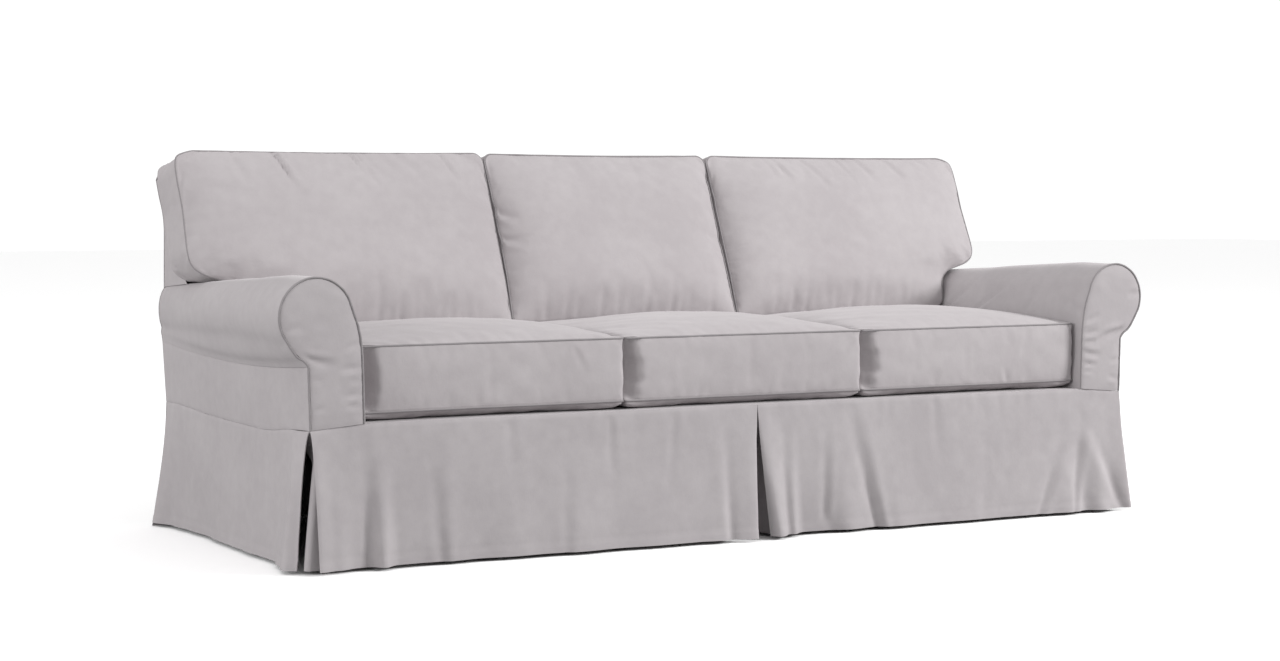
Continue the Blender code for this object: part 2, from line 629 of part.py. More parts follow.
def build_pleat_corner(cover, side, name):
    """Piece folded round inside the front corner; lower down its side leg turns in."""
    route = [(HALF_WIDTH - CORNER_REACH, INNER_FRONT)]
    turn_x = HALF_WIDTH - CLOTH - GAP - CORNER_ROUND
    turn_y = INNER_FRONT + CORNER_ROUND
    for step in range(CORNER_STEPS + 1):
        angle = math.radians(-90.0 + 90.0 * step / CORNER_STEPS)
        route.append((turn_x + CORNER_ROUND * math.cos(angle),
                      turn_y + CORNER_ROUND * math.sin(angle)))
    route.append((HALF_WIDTH - CLOTH - GAP, INNER_FRONT + CORNER_REACH))

    def place(u, t):
        fall = 1.0 - t
        x, y = route[round(u * (len(route) - 1))]
        top = min(side_seam(y), front_seam(x)) - CLOTH - GAP
        shift = PLEAT_BACK * fall
        along = max(0.0, y - turn_y) / (INNER_FRONT + CORNER_REACH - turn_y)
        swing = CORNER_SWING * along * pleat_depth(fall)
        return side * (x + CORNER_OUT * fall - swing), y + shift, top + (HEM - top) * fall

    cover.sheet("pleat_" + name, len(route) - 1, PLEAT_ROWS, place, flip=side < 0)


# ---------------------------------------------------------------- cushions
def crown_share(a, b, peak_a, peak_b, power):
    """Rise of a filled face: 0 at its edge, 1 at its peak."""
    def along(place, peak):
        if place < peak:
            return 1.0 - ((peak - place) / (1.0 + peak)) ** power
        return 1.0 - ((place - peak) / (1.0 - peak)) ** power
    return max(0.0, along(a, peak_a)) * max(0.0, along(b, peak_b))


def boxed_cushion(cover, name, cells, outline, rings, face_point, welts):
    """Filled cushion between two faces joined by boxing.

    outline[(i, j)] is the flat shape, rings lists (inset, level) from the far
    face to the near one, face_point(p, q, level, i, j) puts a point in place and
    welts names the piping and the level of the edge that it covers.
    """
    columns, rows = cells
    loop = rim(columns, rows)
    flat = [outline[spot] for spot in loop]
    insets = [dict(zip(loop, offset_path(flat, inset, closed=True))) for inset, level in rings]

    def place(i, j, k):
        spot = (i, j)
        p, q = insets[k][spot] if spot in insets[k] else outline[spot]
        return face_point(p, q, rings[k][1], i, j)

    bm = lattice_box((columns, rows, len(rings) - 1), place)
    cover.add_mesh(name, bm, CUSHION_COLOUR)
    for welt_name, level in welts:
        path = offset_path(flat, WELT_SINK, closed=True)
        points = [face_point(p[0], p[1], level, i, j) for p, (i, j) in zip(path, loop)]
        cover.welt(welt_name, points, closed=True)


def stations(half, count, edge):
    """Places across a cushion, -1 to 1, with one close to each edge."""
    near = 1.0 - edge / half
    inner = [-near + 2.0 * near * step / (count - 2) for step in range(count - 1)]
    return [-1.0] + inner + [1.0]


def build_seat(cover, slot, name):
    """Boxed seat cushion, crowned above and bulging a little below."""
    form = SEATS[name]
    low_x = (slot - 0.5) * PITCH + SEAT_SIDE_ROOM
    high_x = (slot + 0.5) * PITCH - SEAT_SIDE_ROOM
    if slot < 0:
        low_x = -ARM_INNER + SEAT_ARM_ROOM
    if slot > 0:
        high_x = ARM_INNER - SEAT_ARM_ROOM
    half_x, half_y = (high_x - low_x) / 2.0, (SEAT_REAR - SEAT_FRONT) / 2.0
    mid_x, mid_y = (high_x + low_x) / 2.0, (SEAT_REAR + SEAT_FRONT) / 2.0
    columns = rows = SEAT_CELLS
    across = stations(half_x, columns, EDGE_ROUND)
    along = stations(half_y, rows, EDGE_ROUND)
    corner = EDGE_ROUND * (1.0 - math.cos(math.radians(45.0)))
    outline = {}
    for i, a in enumerate(across):
        for j, b in enumerate(along):
            x = a * (half_x - SEAT_DRAW * (1.0 - b * b))
            y = b * (half_y - SEAT_DRAW * (1.0 - a * a))
            if abs(a) == 1.0 and abs(b) == 1.0:
                x -= math.copysign(corner, a)
                y -= math.copysign(corner, b)
            outline[(i, j)] = (mid_x + x, mid_y + y)
    middle = (SEAT_TOP + SEAT_BOTTOM) / 2.0
    rings = ((WELT_SEAT, SEAT_BOTTOM), (0.0, SEAT_BOTTOM + WELT_SEAT), (-SEAT_BULGE, middle),
             (0.0, SEAT_TOP - WELT_SEAT), (WELT_SEAT, SEAT_TOP))

    def face_point(p, q, level, i, j):
        a, b = across[i], along[j]
        inside = abs(a) < 1.0 and abs(b) < 1.0
        z = level
        if inside and level > middle:
            z += form.crown * crown_share(a, b, form.peak, SEAT_PEAK_FORWARD, SEAT_POWER)
            pressed = min(1.0, max(0.0, (q - PRESSED_FROM) / PRESSED_RUN))
            z = z + (min(z, SEAT_TOP + SEAT_PRESSED) - z) * pressed
        elif inside:
            z -= SEAT_UNDER * crown_share(a, b, 0.0, 0.0, UNDER_POWER)
        return p, q, z

    welts = (("seat_welt_top_" + name, SEAT_TOP - WELT_SINK),
             ("seat_welt_bottom_" + name, SEAT_BOTTOM + WELT_SINK))
    boxed_cushion(cover, "seat_" + name, (columns, rows), outline, rings, face_point, welts)


def build_back_cushion(cover, slot, name):
    """Raked back cushion; the outer two widen into an ear above the arm."""
    form = BACKS[name]
    inner_edge = 0.5 * PITCH + SEAT_SIDE_ROOM * (1.0 if slot else -1.0)
    if slot == 0:
        ups = PLAIN_ROWS
        across = stations(inner_edge, BACK_CELLS, EDGE_ROUND)
    else:
        ups = tuple(row.up for row in EAR)
        across = stations(1.0, EAR_CELLS, EAR_EDGE)
    outline = {}
    top = ups[-1]
    for j, up in enumerate(ups):
        rounding = 0.0
        if j in (0, len(ups) - 1):
            rounding = EDGE_ROUND * 0.9
        elif top - up < NEAR_TOP:
            rounding = EDGE_ROUND * 0.4
        for i, a in enumerate(across):
            v = up
            if slot == 0:
                x = a * (inner_edge - BACK_DRAW * (1.0 - (2.0 * up / top - 1.0) ** 2))
                if abs(a) == 1.0:
                    x -= math.copysign(rounding, a)
            else:
                x = slot * ear_column(i, len(across) - 1, inner_edge, rounding, EAR[j].out)
            if j == len(ups) - 1:
                v -= BACK_SAG * (1.0 - a * a)
            outline[(i if slot >= 0 else len(across) - 1 - i, j)] = (x, v)
    rings = ((WELT_SEAT, BACK_THICK), (0.0, BACK_THICK - WELT_SEAT), (-BACK_BULGE, BACK_THICK * 0.5),
             (0.0, WELT_SEAT), (WELT_SEAT, 0.0))
    foot_y, foot_z = BACK_FRONT_FOOT
    last = len(across) - 1

    def in_place(q, depth):
        """The front is raked and the rear lies on the inside back."""
        z = foot_z + q * math.cos(LEAN)
        z -= depth * math.tan(TOP_FALL) * min(1.0, q / (top * FULL_FALL))
        front = foot_y + q * math.sin(LEAN)
        return front + (inside_back_y(z) - GAP - front) * depth / BACK_THICK, z

    def lift(depth, i, j):
        """Rise of the ear where the arm's roll holds it up."""
        x, q = outline[(i, j)]
        y, z = in_place(q, depth)
        if abs(x) < ROLL_X - ROLL_RADIUS:
            return 0.0
        return max(0.0, arm_top(x, y) + EAR_CLEAR - z)

    def face_point(p, q, depth, i, j):
        a = across[i if slot >= 0 else last - i]
        b = 2.0 * ups[j] / top - 1.0
        y, z = in_place(q, depth)
        z += lift(depth, i, j)
        if 0 < i < last and 0 < j < len(ups) - 1 and depth == 0.0:
            rise = form.crown * crown_share(a, b, form.side_of_peak,
                                            2.0 * form.height_of_peak - 1.0, BACK_POWER)
            y -= rise * math.cos(LEAN)
            z += rise * math.sin(LEAN)
        return p, y, z

    welts = (("back_welt_" + name, WELT_SINK),)
    boxed_cushion(cover, "back_" + name, (len(across) - 1, len(ups) - 1), outline, rings,
                  face_point, welts)


def ear_column(i, last, inner_edge, rounding, out):
    """Place across an outer back cushion, from its inner edge to its ear."""
    plain = last - EAR_COLUMNS
    if i == 0:
        return inner_edge + rounding
    if i <= plain:
        first = inner_edge + EDGE_ROUND
        return first + (EAR_FROM - first) * (i - 1) / (plain - 1)
    return EAR_FROM + (out - EAR_FROM) * (i - plain) / EAR_COLUMNS


def main():
    clear_scene()
    hold_point = Vector((0.0, HOLD_Y, top_z(HOLD_Y) - CLOTH))
    cover = Cover(hold_point)
    build_deck(cover)
    build_inside_back(cover)
    build_back_top(cover)
    build_outside_back(cover)
    for side, name in ((-1, "left"), (1, "right")):
        build_back_side(cover, side, name)
        build_arm(cover, side, name)
        build_arm_outer(cover, side, name)
        build_arm_front(cover, side, name)
        build_pleat_corner(cover, side, name)
    build_skirt_front(cover, FRONT_LEFT, "left", -HALF_WIDTH, PANELS_MEET - GAP)
    build_skirt_front(cover, FRONT_RIGHT, "right", PANELS_MEET + GAP, HALF_WIDTH)
    build_skirt_side(cover, SIDE_LEFT, -1, "left")
    build_skirt_side(cover, SIDE_RIGHT, 1, "right")
    build_skirt_back(cover)
    build_pleat_middle(cover)
    for slot, name in ((-1, "left"), (0, "mid"), (1, "right")):
        build_seat(cover, slot, name)
        build_back_cushion(cover, slot, name)


main()
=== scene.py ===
"""Looks of a fitted slipcover for a three-seat roll-arm sofa, with six filled cushions.

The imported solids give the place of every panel, cushion and piping.  Each is
replaced here by a finer piece of the same sizes: panels are thin sheets of
cloth with their folds, puckers and seams, cushions are filled forms that a
short cloth simulation settles and that then get their pull creases, and the
piping is a cord in its bias strip along each seam.

Sizes are measured from the floor, the middle of the length and the middle of
the base; HOLD_POINT moves them to the row's frame.  Metres, +Z up.
"""

import logging
import math
from dataclasses import dataclass
from enum import Enum
from typing import Callable, NamedTuple, Sequence

import bmesh
import bpy
import numpy as np
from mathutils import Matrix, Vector

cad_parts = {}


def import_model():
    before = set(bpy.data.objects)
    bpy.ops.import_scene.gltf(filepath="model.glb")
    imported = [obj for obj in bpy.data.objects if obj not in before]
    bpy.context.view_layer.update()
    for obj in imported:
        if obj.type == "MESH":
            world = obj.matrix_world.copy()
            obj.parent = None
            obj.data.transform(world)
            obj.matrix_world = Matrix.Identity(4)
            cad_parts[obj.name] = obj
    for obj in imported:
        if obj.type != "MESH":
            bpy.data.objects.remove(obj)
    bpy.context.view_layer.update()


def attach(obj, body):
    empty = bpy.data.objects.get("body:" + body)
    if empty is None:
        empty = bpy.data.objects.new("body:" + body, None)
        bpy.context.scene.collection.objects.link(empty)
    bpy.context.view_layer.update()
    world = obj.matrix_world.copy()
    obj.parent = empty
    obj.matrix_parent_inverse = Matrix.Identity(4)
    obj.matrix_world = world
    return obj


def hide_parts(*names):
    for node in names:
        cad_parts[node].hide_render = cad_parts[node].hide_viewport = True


LOG = logging.getLogger("slipcover")
Array = np.ndarray

# ------------------------------------------------------------------ shared sizes
HOLD_POINT = np.array([0.0, 0.455, 0.82794])
CLOTH = 0.002
GAP = 0.0003
PIPING_RADIUS = 0.0022
HALF_WIDTH = 1.05
FRONT, REAR = -0.424, 0.430
INNER_FRONT = FRONT + CLOTH + GAP
INNER_REAR = REAR - CLOTH - GAP
DECK_TOP = 0.310
HEM = 0.016
FLOOR_LEVEL = 0.008
CORNER_DIP = 0.010
ARM_INNER = 0.930
ROLL_X, ROLL_Z, ROLL_RADIUS = 1.034, 0.528, 0.081
ROLL_FROM, ROLL_TO, ROLL_STEPS = 168.0, -38.0, 12
ROLL_DROP, TAPER_START, TAPER_END, ROLL_OUTER_END = 0.0575, -0.30, 0.4395, 0.026
UNDER_ROLL_OUT = 0.0035
BACK_FOOT, BACK_RAKE = (0.2554, 0.487), math.radians(24.1)
BACK_HALF = 1.046
ARM_CLEAR, SIDE_CLEAR, RIDGE_GAP = 0.0016, 0.0012, 0.0022
PITCH = 0.6205
SEAM_EDGE = (0.0, 0.002, 0.0045, 0.008)
CREASE_FADE, CREASE_START = 0.8, 1.5
RIDGE_ALONE, RIDGE_EACH, RIDGE_OFF = 0.55, 0.3, 1.7
REAR_SLOPE_STEP, REAR_SLOPE_SHARE = 0.012, 1.3
SHARP_ANGLE = math.radians(50)
WELD = 0.00002
TINY = 1e-9
CLOTH_MAP = "cloth"
NOISE_SHIFT = 4.0
EASE_BEND = 0.6
PLACE_WORDS = {-1: "left", 0: "mid", 1: "right"}

TOP_PROFILE = np.array([(0.4161, 0.8455), (0.440, 0.836), (0.466, 0.8255), (0.488, 0.8165),
                        (0.499, 0.807)])
REAR_PROFILE = np.array([(REAR, 0.300), (0.4405, 0.42), (0.450, 0.555), (0.4475, 0.66),
                         (0.4475, 0.70), (0.4535, 0.725), (0.4635, 0.745), (0.4765, 0.765),
                         (0.4975, 0.805)])
SIDE_SEAM = np.array([(INNER_FRONT, 0.3000), (-0.360, 0.2975), (-0.300, 0.2945), (-0.235, 0.2875),
                      (-0.170, 0.2840), (-0.100, 0.2848), (-0.030, 0.2860), (0.045, 0.2872),
                      (0.120, 0.2893), (0.195, 0.2918), (0.270, 0.2965), (0.350, 0.2998),
                      (INNER_REAR, 0.3000)])
UNDER_ROLL_SEAM = np.array([(INNER_FRONT, 0.4280), (-0.300, 0.4210), (-0.170, 0.4160),
                            (-0.030, 0.4150), (0.120, 0.4185), (0.270, 0.4255), (0.4395, 0.4380)])


class Fold(NamedTuple):
    """One fold of the skirt: place along the hem, stand-off there, straight share."""

    at: float
    out: float
    start: float


def folded(*rows: tuple[float, float, float]) -> tuple[Fold, ...]:
    """Folds of one panel, in order along its hem."""
    return tuple(Fold(*row) for row in rows)


FRONT_LEFT = folded(
    (-1.036, 0.017, 0.00), (-0.990, 0.006, 0.20), (-0.938, -0.010, 0.12), (-0.893, 0.011, 0.12),
    (-0.850, -0.008, 0.12), (-0.795, -0.010, 0.10), (-0.730, -0.002, 0.30),
    (-0.665, -0.008, 0.30), (-0.580, 0.003, 0.25), (-0.510, 0.001, 0.40), (-0.430, 0.012, 0.20),
    (-0.340, 0.004, 0.25), (-0.235, 0.012, 0.30), (-0.140, 0.008, 0.35), (-0.090, 0.017, 0.20),
    (-0.055, 0.012, 0.15), (-0.001, 0.031, 0.00))
FRONT_RIGHT = folded(
    (0.043, 0.010, 0.00), (0.061, 0.027, 0.00), (0.105, 0.004, 0.10), (0.150, -0.016, 0.10),
    (0.210, -0.014, 0.15), (0.268, 0.003, 0.10), (0.325, -0.006, 0.30), (0.400, 0.008, 0.25),
    (0.500, 0.002, 0.40), (0.600, 0.006, 0.40), (0.700, 0.001, 0.30), (0.830, 0.002, 0.40),
    (0.905, 0.012, 0.35), (0.952, -0.005, 0.10), (1.000, 0.014, 0.05), (1.045, -0.003, 0.10),
    (1.088, 0.010, 0.00))
SIDE_LEFT = folded(
    (-0.396, 0.019, 0.00), (-0.374, 0.040, 0.05), (-0.300, 0.021, 0.10), (-0.235, 0.004, 0.20),
    (-0.165, 0.002, 0.30), (-0.090, 0.006, 0.40), (-0.020, 0.000, 0.30), (0.055, -0.002, 0.40),
    (0.130, -0.005, 0.35), (0.205, -0.012, 0.30), (0.310, -0.009, 0.30), (0.406, -0.003, 0.20),
    (0.4832, 0.017, 0.00))
SIDE_RIGHT = folded(
    (-0.380, 0.078, 0.00), (-0.345, 0.082, 0.05), (-0.285, 0.053, 0.10), (-0.220, 0.025, 0.15),
    (-0.155, 0.008, 0.20), (-0.080, 0.006, 0.40), (-0.010, -0.003, 0.30), (0.060, 0.001, 0.40),
    (0.130, 0.004, 0.40), (0.215, -0.008, 0.30), (0.310, -0.004, 0.30), (0.406, -0.002, 0.20),
    (0.4832, 0.017, 0.00))
BACK_FOLDS = folded(
    (-1.067, 0.057, 0.00), (-0.860, 0.034, 0.15), (-0.640, 0.044, 0.25), (-0.420, 0.030, 0.20),
    (-0.200, 0.042, 0.25), (0.010, 0.032, 0.20), (0.230, 0.043, 0.25), (0.450, 0.031, 0.20),
    (0.650, 0.044, 0.25), (0.870, 0.034, 0.15), (1.067, 0.057, 0.00))


class Side(Enum):
    """The two ends of the sofa, seen from the front."""

    LEFT = -1
    RIGHT = 1

    @property
    def word(self) -> str:
        """The side's name in node names."""
        return self.name.lower()


class Held(Enum):
    """How a panel of cloth is held."""

    STRETCHED = "stretched"
    HUNG = "hung"
    LAID = "laid"


class Chart(Enum):
    """The two axes in which a piece's creases are placed."""

    FRONT = (0, 2)
    SIDE = (1, 2)
    TOP = (0, 1)


class Crease(NamedTuple):
    """A soft trough from start to end, with a ridge on one side or on both.

    lean is -1, 0 or 1: the side of the trough that its ridge lies on.
    """

    start: tuple[float, float]
    end: tuple[float, float]
    width: float
    depth: float
    lean: int = 0


def pulled(*rows: Sequence[float]) -> tuple[Crease, ...]:
    """Creases from rows of start, end, width, depth and, if it has one, lean."""
    return tuple(Crease(row[:2], row[2:4], *row[4:]) for row in rows)


# ------------------------------------------------------------------ small numerics
def curve(xs: Array, ys: Array, at: Array) -> Array:
    """Smooth curve through the rows of a table.

    Args:
        xs: Rising places.
        ys: Values there, one column or several.
        at: Places to read.

    Returns:
        The values, with slopes taken from the neighbouring rows.
    """
    xs, ys, at = np.asarray(xs, float), np.asarray(ys, float), np.asarray(at, float)
    steps = np.diff(xs)
    rises = np.diff(ys, axis=0) / (steps if ys.ndim == 1 else steps[:, None])
    slopes = np.zeros_like(ys)
    slopes[0], slopes[-1] = rises[0], rises[-1]
    slopes[1:-1] = (rises[:-1] + rises[1:]) / 2.0
    low = np.clip(np.searchsorted(xs, at) - 1, 0, len(xs) - 2)
    step = steps[low]
    share = np.clip((at - xs[low]) / step, 0.0, 1.0)
    if ys.ndim > 1:
        step, share = step[..., None], share[..., None]
    s2, s3 = share ** 2, share ** 3
    return ((2 * s3 - 3 * s2 + 1) * ys[low] + (s3 - 2 * s2 + share) * step * slopes[low]
            + (3 * s2 - 2 * s3) * ys[low + 1] + (s3 - s2) * step * slopes[low + 1])


def ease(share: Array) -> Array:
    """Cloth leaves its seam gently and then runs straight down to the hem."""
    share = np.maximum(share, 0.0)
    return share ** 2 * (1.0 + EASE_BEND - EASE_BEND * share)


def smooth(low: Array | float, high: Array | float, at: Array) -> Array:
    """Soft step from 0 at low to 1 at high."""
    share = np.clip((at - low) / (high - low), 0.0, 1.0)
    return share ** 2 * (3.0 - 2.0 * share)


def graded(low: float, high: float, edge: Sequence[float], pitch: float) -> Array:
    """Places from low to high, close together near both ends.

    Args:
        low: First place.
        high: Last place.
        edge: Distances from an end of the close places.
        pitch: Distance between the others, about.

    Returns:
        The places, rising.
    """
    first, last = low + edge[-1], high - edge[-1]
    count = max(1, round((last - first) / pitch))
    middle = np.linspace(first, last, count + 1)
    return np.concatenate([low + np.array(edge[:-1]), middle, high - np.array(edge[:-1])[::-1]])


def cloth_noise(a: Array, b: Array, pitch: tuple[float, float], seed: int) -> Array:
    """Smooth unevenness over a chart.

    Args:
        a: First coordinate of each point, in metres.
        b: Second coordinate.
        pitch: Distance between neighbouring random values, each way.
        seed: Seed of the values.

    Returns:
        A value from -1 to 1 for each point.
    """
    u, v = (a + NOISE_SHIFT) / pitch[0], (b + NOISE_SHIFT) / pitch[1]
    i, j = np.floor(u).astype(int), np.floor(v).astype(int)
    shape = (i.max() + 2, j.max() + 2)
    values = np.random.default_rng(seed).uniform(-1.0, 1.0, shape)
    s, t = u - i, v - j
    s, t = s * s * (3 - 2 * s), t * t * (3 - 2 * t)
    return ((values[i, j] * (1 - s) + values[i + 1, j] * s) * (1 - t)
            + (values[i, j + 1] * (1 - s) + values[i + 1, j + 1] * s) * t)


def crease_rise(a: Array, b: Array, creases: Sequence[Crease]) -> Array:
    """Rise along the surface's normal that the creases give at each point.

    Args:
        a: First chart coordinate of each point.
        b: Second chart coordinate.
        creases: The creases, in the same chart.

    Returns:
        The rise in metres, negative in a trough.
    """
    rise = np.zeros_like(a)
    for crease in creases:
        start, end = np.array(crease.start), np.array(crease.end)
        run = end - start
        length = float(np.hypot(*run))
        run = run / length
        along = (a - start[0]) * run[0] + (b - start[1]) * run[1]
        across = -(a - start[0]) * run[1] + (b - start[1]) * run[0]
        share = along / length
        before = np.exp(-(along / (CREASE_START * crease.width)) ** 2)
        within = np.cos(np.clip(share, 0, 1) * math.pi / 2.0) ** CREASE_FADE
        fade = np.where(share < 0.0, before, np.where(share < 1.0, within, 0.0))
        width = crease.width * (0.75 + 0.5 * np.clip(share, 0.0, 1.0))
        shape = -np.exp(-(across / width) ** 2)
        for side in ((crease.lean,) if crease.lean else (-1, 1)):
            ridge = RIDGE_ALONE if crease.lean else RIDGE_EACH
            shape = shape + ridge * np.exp(-((across - side * RIDGE_OFF * width) / width) ** 2)
        rise += crease.depth * fade * shape
    return rise


# ------------------------------------------------------------------ seams and profiles
def front_seam(x: Array) -> Array:
    """Height of the skirt seam across the front."""
    past = np.clip((np.abs(x) - ARM_INNER) / (HALF_WIDTH - ARM_INNER), 0.0, 1.0)
    return DECK_TOP - CORNER_DIP * past


def side_seam(y: Array) -> Array:
    """Height of the skirt seam along a side."""
    return curve(SIDE_SEAM[:, 0], SIDE_SEAM[:, 1], y)


def under_roll_seam(y: Array) -> Array:
    """Height of the seam under the arm's roll."""
    return curve(UNDER_ROLL_SEAM[:, 0], UNDER_ROLL_SEAM[:, 1], y)


def inside_back_y(z: Array) -> Array:
    """Depth of the raked inside back."""
    return BACK_FOOT[0] + (z - BACK_FOOT[1]) * math.tan(BACK_RAKE)


def rear_y(z: Array) -> Array:
    """Depth of the outside back."""
    return curve(REAR_PROFILE[:, 1], REAR_PROFILE[:, 0], z)


def before_rear(z: Array) -> Array:
    """Where a panel ends that is sewn to the inner face of the outside back.

    Args:
        z: Height of each point.

    Returns:
        The depth at each height.
    """
    step = REAR_SLOPE_STEP
    slope = (rear_y(z + step) - rear_y(z - step)) / (2.0 * step)
    return rear_y(z) - CLOTH * np.hypot(1.0, REAR_SLOPE_SHARE * slope) - GAP


def roll_shape(y: Array) -> tuple[Array, Array, Array]:
    """Middle height, half height and outer half width of the arm's roll at y.

    Args:
        y: Depth of each point.

    Returns:
        Three values for each depth.
    """
    run = np.clip(y, TAPER_START, TAPER_END) - TAPER_START
    lower = run * ROLL_DROP / 2.0
    outer = ROLL_RADIUS + (ROLL_OUTER_END - ROLL_RADIUS) * run / (TAPER_END - TAPER_START)
    return ROLL_Z - lower, ROLL_RADIUS - lower, outer


def arm_top(x: Array, y: Array) -> Array:
    """Height of the arm's cloth at a place above its roll.

    Args:
        x: Place across of each point.
        y: Its depth.

    Returns:
        The height at each point.
    """
    middle, high, outer = roll_shape(y)
    off = np.where(np.abs(x) > ROLL_X, (np.abs(x) - ROLL_X) / outer,
                   (np.abs(x) - ROLL_X) / ROLL_RADIUS)
    return middle + high * np.sqrt(np.clip(1.0 - off ** 2, 0.0, 1.0))


def arm_profile(y: float) -> Array:
    """Outer face of an arm at y, from the deck over the roll to the seam under it.

    Args:
        y: The depth.

    Returns:
        Rows of place across and height.
    """
    middle, high, outer = (float(v) for v in roll_shape(y))
    seam = float(under_roll_seam(y))
    share = (ROLL_RADIUS - outer) / (ROLL_RADIUS - ROLL_OUTER_END)
    points = [(ARM_INNER, DECK_TOP - CLOTH)]
    points += [(ARM_INNER + out, z + middle - ROLL_Z)
               for out, z in ((0.002, 0.40), (0.005, 0.468), (0.012, 0.508))]
    for step in range(ROLL_STEPS + 1):
        angle = math.radians(ROLL_FROM + (ROLL_TO - ROLL_FROM) * step / ROLL_STEPS)
        across = math.cos(angle)
        points.append((ROLL_X + across * (outer if across > 0.0 else ROLL_RADIUS),
                       middle + high * math.sin(angle)))
    points += [(HALF_WIDTH + out + (out_end - out) * share, seam + up)
               for up, out, out_end in ((0.021, 0.027, 0.0060), (0.011, 0.012, 0.0045))]
    points.append((HALF_WIDTH + UNDER_ROLL_OUT, seam + GAP / 2.0))
    return np.array(points)


def run_along(line: Array) -> Array:
    """Length run at each point of a line, from 0."""
    return np.concatenate([[0.0], np.cumsum(np.linalg.norm(np.diff(line, axis=0), axis=1))])


def arc_places(points: Array) -> Array:
    """Share of the whole length at each point of a line, 0 to 1."""
    run = run_along(points)
    return run / run[-1]


# ------------------------------------------------------------------ finishes
@dataclass(frozen=True)
class ClothFinish:
    """Matte woven cotton: base tone, soft mottling, yarns and a fuzzy sheen."""

    name: str
    slot: str
    light: tuple[float, float, float]
    shade: tuple[float, float, float]
    roughness: float = 0.92
    sheen: float = 0.25
    yarn: float = 0.0011
    yarn_relief: float = 0.35
    mottle_relief: float = 0.25
    sheen_roughness: float = 0.5
    sheen_tint: tuple[float, float, float, float] = (1.0, 0.97, 0.98, 1.0)
    specular: float = 0.25
    broad_scale: float = 5.0
    nap_scale: float = 38.0
    yarn_stretch: float = 10.0
    broad_share: float = 0.9
    nap_share: float = 0.6
    yarn_share: float = 0.12
    tone_range: tuple[float, float] = (0.70, 1.30)
    mottle_depth: float = 0.003
    yarn_depth: float = 0.0003

    def material(self) -> bpy.types.Material:
        """Builds the node tree once and returns the material.

        Returns:
            The material, the same one each time.
        """
        made = bpy.data.materials.get(self.name)
        if made is not None:
            return made
        made = bpy.data.materials.new(self.name)
        made.use_nodes = True
        nodes, links = made.node_tree.nodes, made.node_tree.links
        shader = nodes["Principled BSDF"]
        shader.inputs["Roughness"].default_value = self.roughness
        shader.inputs["Sheen Weight"].default_value = self.sheen
        shader.inputs["Sheen Roughness"].default_value = self.sheen_roughness
        shader.inputs["Sheen Tint"].default_value = self.sheen_tint
        shader.inputs["Specular IOR Level"].default_value = self.specular
        place = nodes.new("ShaderNodeTexCoord")
        weave = nodes.new("ShaderNodeUVMap")
        weave.uv_map = CLOTH_MAP

        def noise(source: bpy.types.NodeSocket, scale: tuple[float, float, float],
                  detail: float) -> bpy.types.NodeSocket:
            """Adds a noise texture with its own mapping and returns its value.

            Args:
                source: Coordinates that it reads.
                scale: Their scale on each axis.
                detail: How many finer layers it has.

            Returns:
                The socket with its value.
            """
            mapping = nodes.new("ShaderNodeMapping")
            mapping.inputs["Scale"].default_value = scale
            texture = nodes.new("ShaderNodeTexNoise")
            texture.inputs["Scale"].default_value = 1.0
            texture.inputs["Detail"].default_value = detail
            links.new(source, mapping.inputs["Vector"])
            links.new(mapping.outputs["Vector"], texture.inputs["Vector"])
            return texture.outputs["Fac"]

        def combine(kind: str, first: bpy.types.NodeSocket,
                    second: bpy.types.NodeSocket | float) -> bpy.types.NodeSocket:
            """Adds a math node and returns its value.

            Args:
                kind: The operation.
                first: First value.
                second: Second value, a socket or a number.

            Returns:
                The socket with the result.
            """
            node = nodes.new("ShaderNodeMath")
            node.operation = kind
            links.new(first, node.inputs[0])
            if isinstance(second, float):
                node.inputs[1].default_value = second
            else:
                links.new(second, node.inputs[1])
            return node.outputs["Value"]

        body = place.outputs["Object"]
        cloth = weave.outputs["UV"]
        fine = 1.0 / self.yarn
        slow = fine / self.yarn_stretch
        broad = noise(body, (self.broad_scale,) * 3, 3.0)
        nap = noise(body, (self.nap_scale,) * 3, 4.0)
        warp = noise(cloth, (fine, slow, 1.0), 1.0)
        weft = noise(cloth, (slow, fine, 1.0), 1.0)
        yarns = combine("ADD", warp, weft)

        tone = nodes.new("ShaderNodeMix")
        tone.data_type = "RGBA"
        tone.inputs["A"].default_value = (*self.shade, 1.0)
        tone.inputs["B"].default_value = (*self.light, 1.0)
        mottle = combine("ADD", combine("MULTIPLY", broad, self.broad_share),
                         combine("MULTIPLY", nap, self.nap_share))
        mottle = combine("ADD", mottle, combine("MULTIPLY", yarns, self.yarn_share))
        spread = nodes.new("ShaderNodeMapRange")
        spread.inputs["From Min"].default_value = self.tone_range[0]
        spread.inputs["From Max"].default_value = self.tone_range[1]
        links.new(mottle, spread.inputs["Value"])
        links.new(spread.outputs["Result"], tone.inputs["Factor"])
        links.new(tone.outputs["Result"], shader.inputs["Base Color"])

        relief = nodes.new("ShaderNodeBump")
        relief.inputs["Strength"].default_value = self.mottle_relief
        relief.inputs["Distance"].default_value = self.mottle_depth
        links.new(nap, relief.inputs["Height"])
        threads = nodes.new("ShaderNodeBump")
        threads.inputs["Strength"].default_value = self.yarn_relief
        threads.inputs["Distance"].default_value = self.yarn_depth
        links.new(yarns, threads.inputs["Height"])
        links.new(relief.outputs["Normal"], threads.inputs["Normal"])
        links.new(threads.outputs["Normal"], shader.inputs["Normal"])
        return made

    def dress(self, piece: bpy.types.Object) -> None:
        """Gives the piece this finish.

        Args:
            piece: The piece to dress.
        """
        piece.data.materials.clear()
        piece.data.materials.append(self.material())


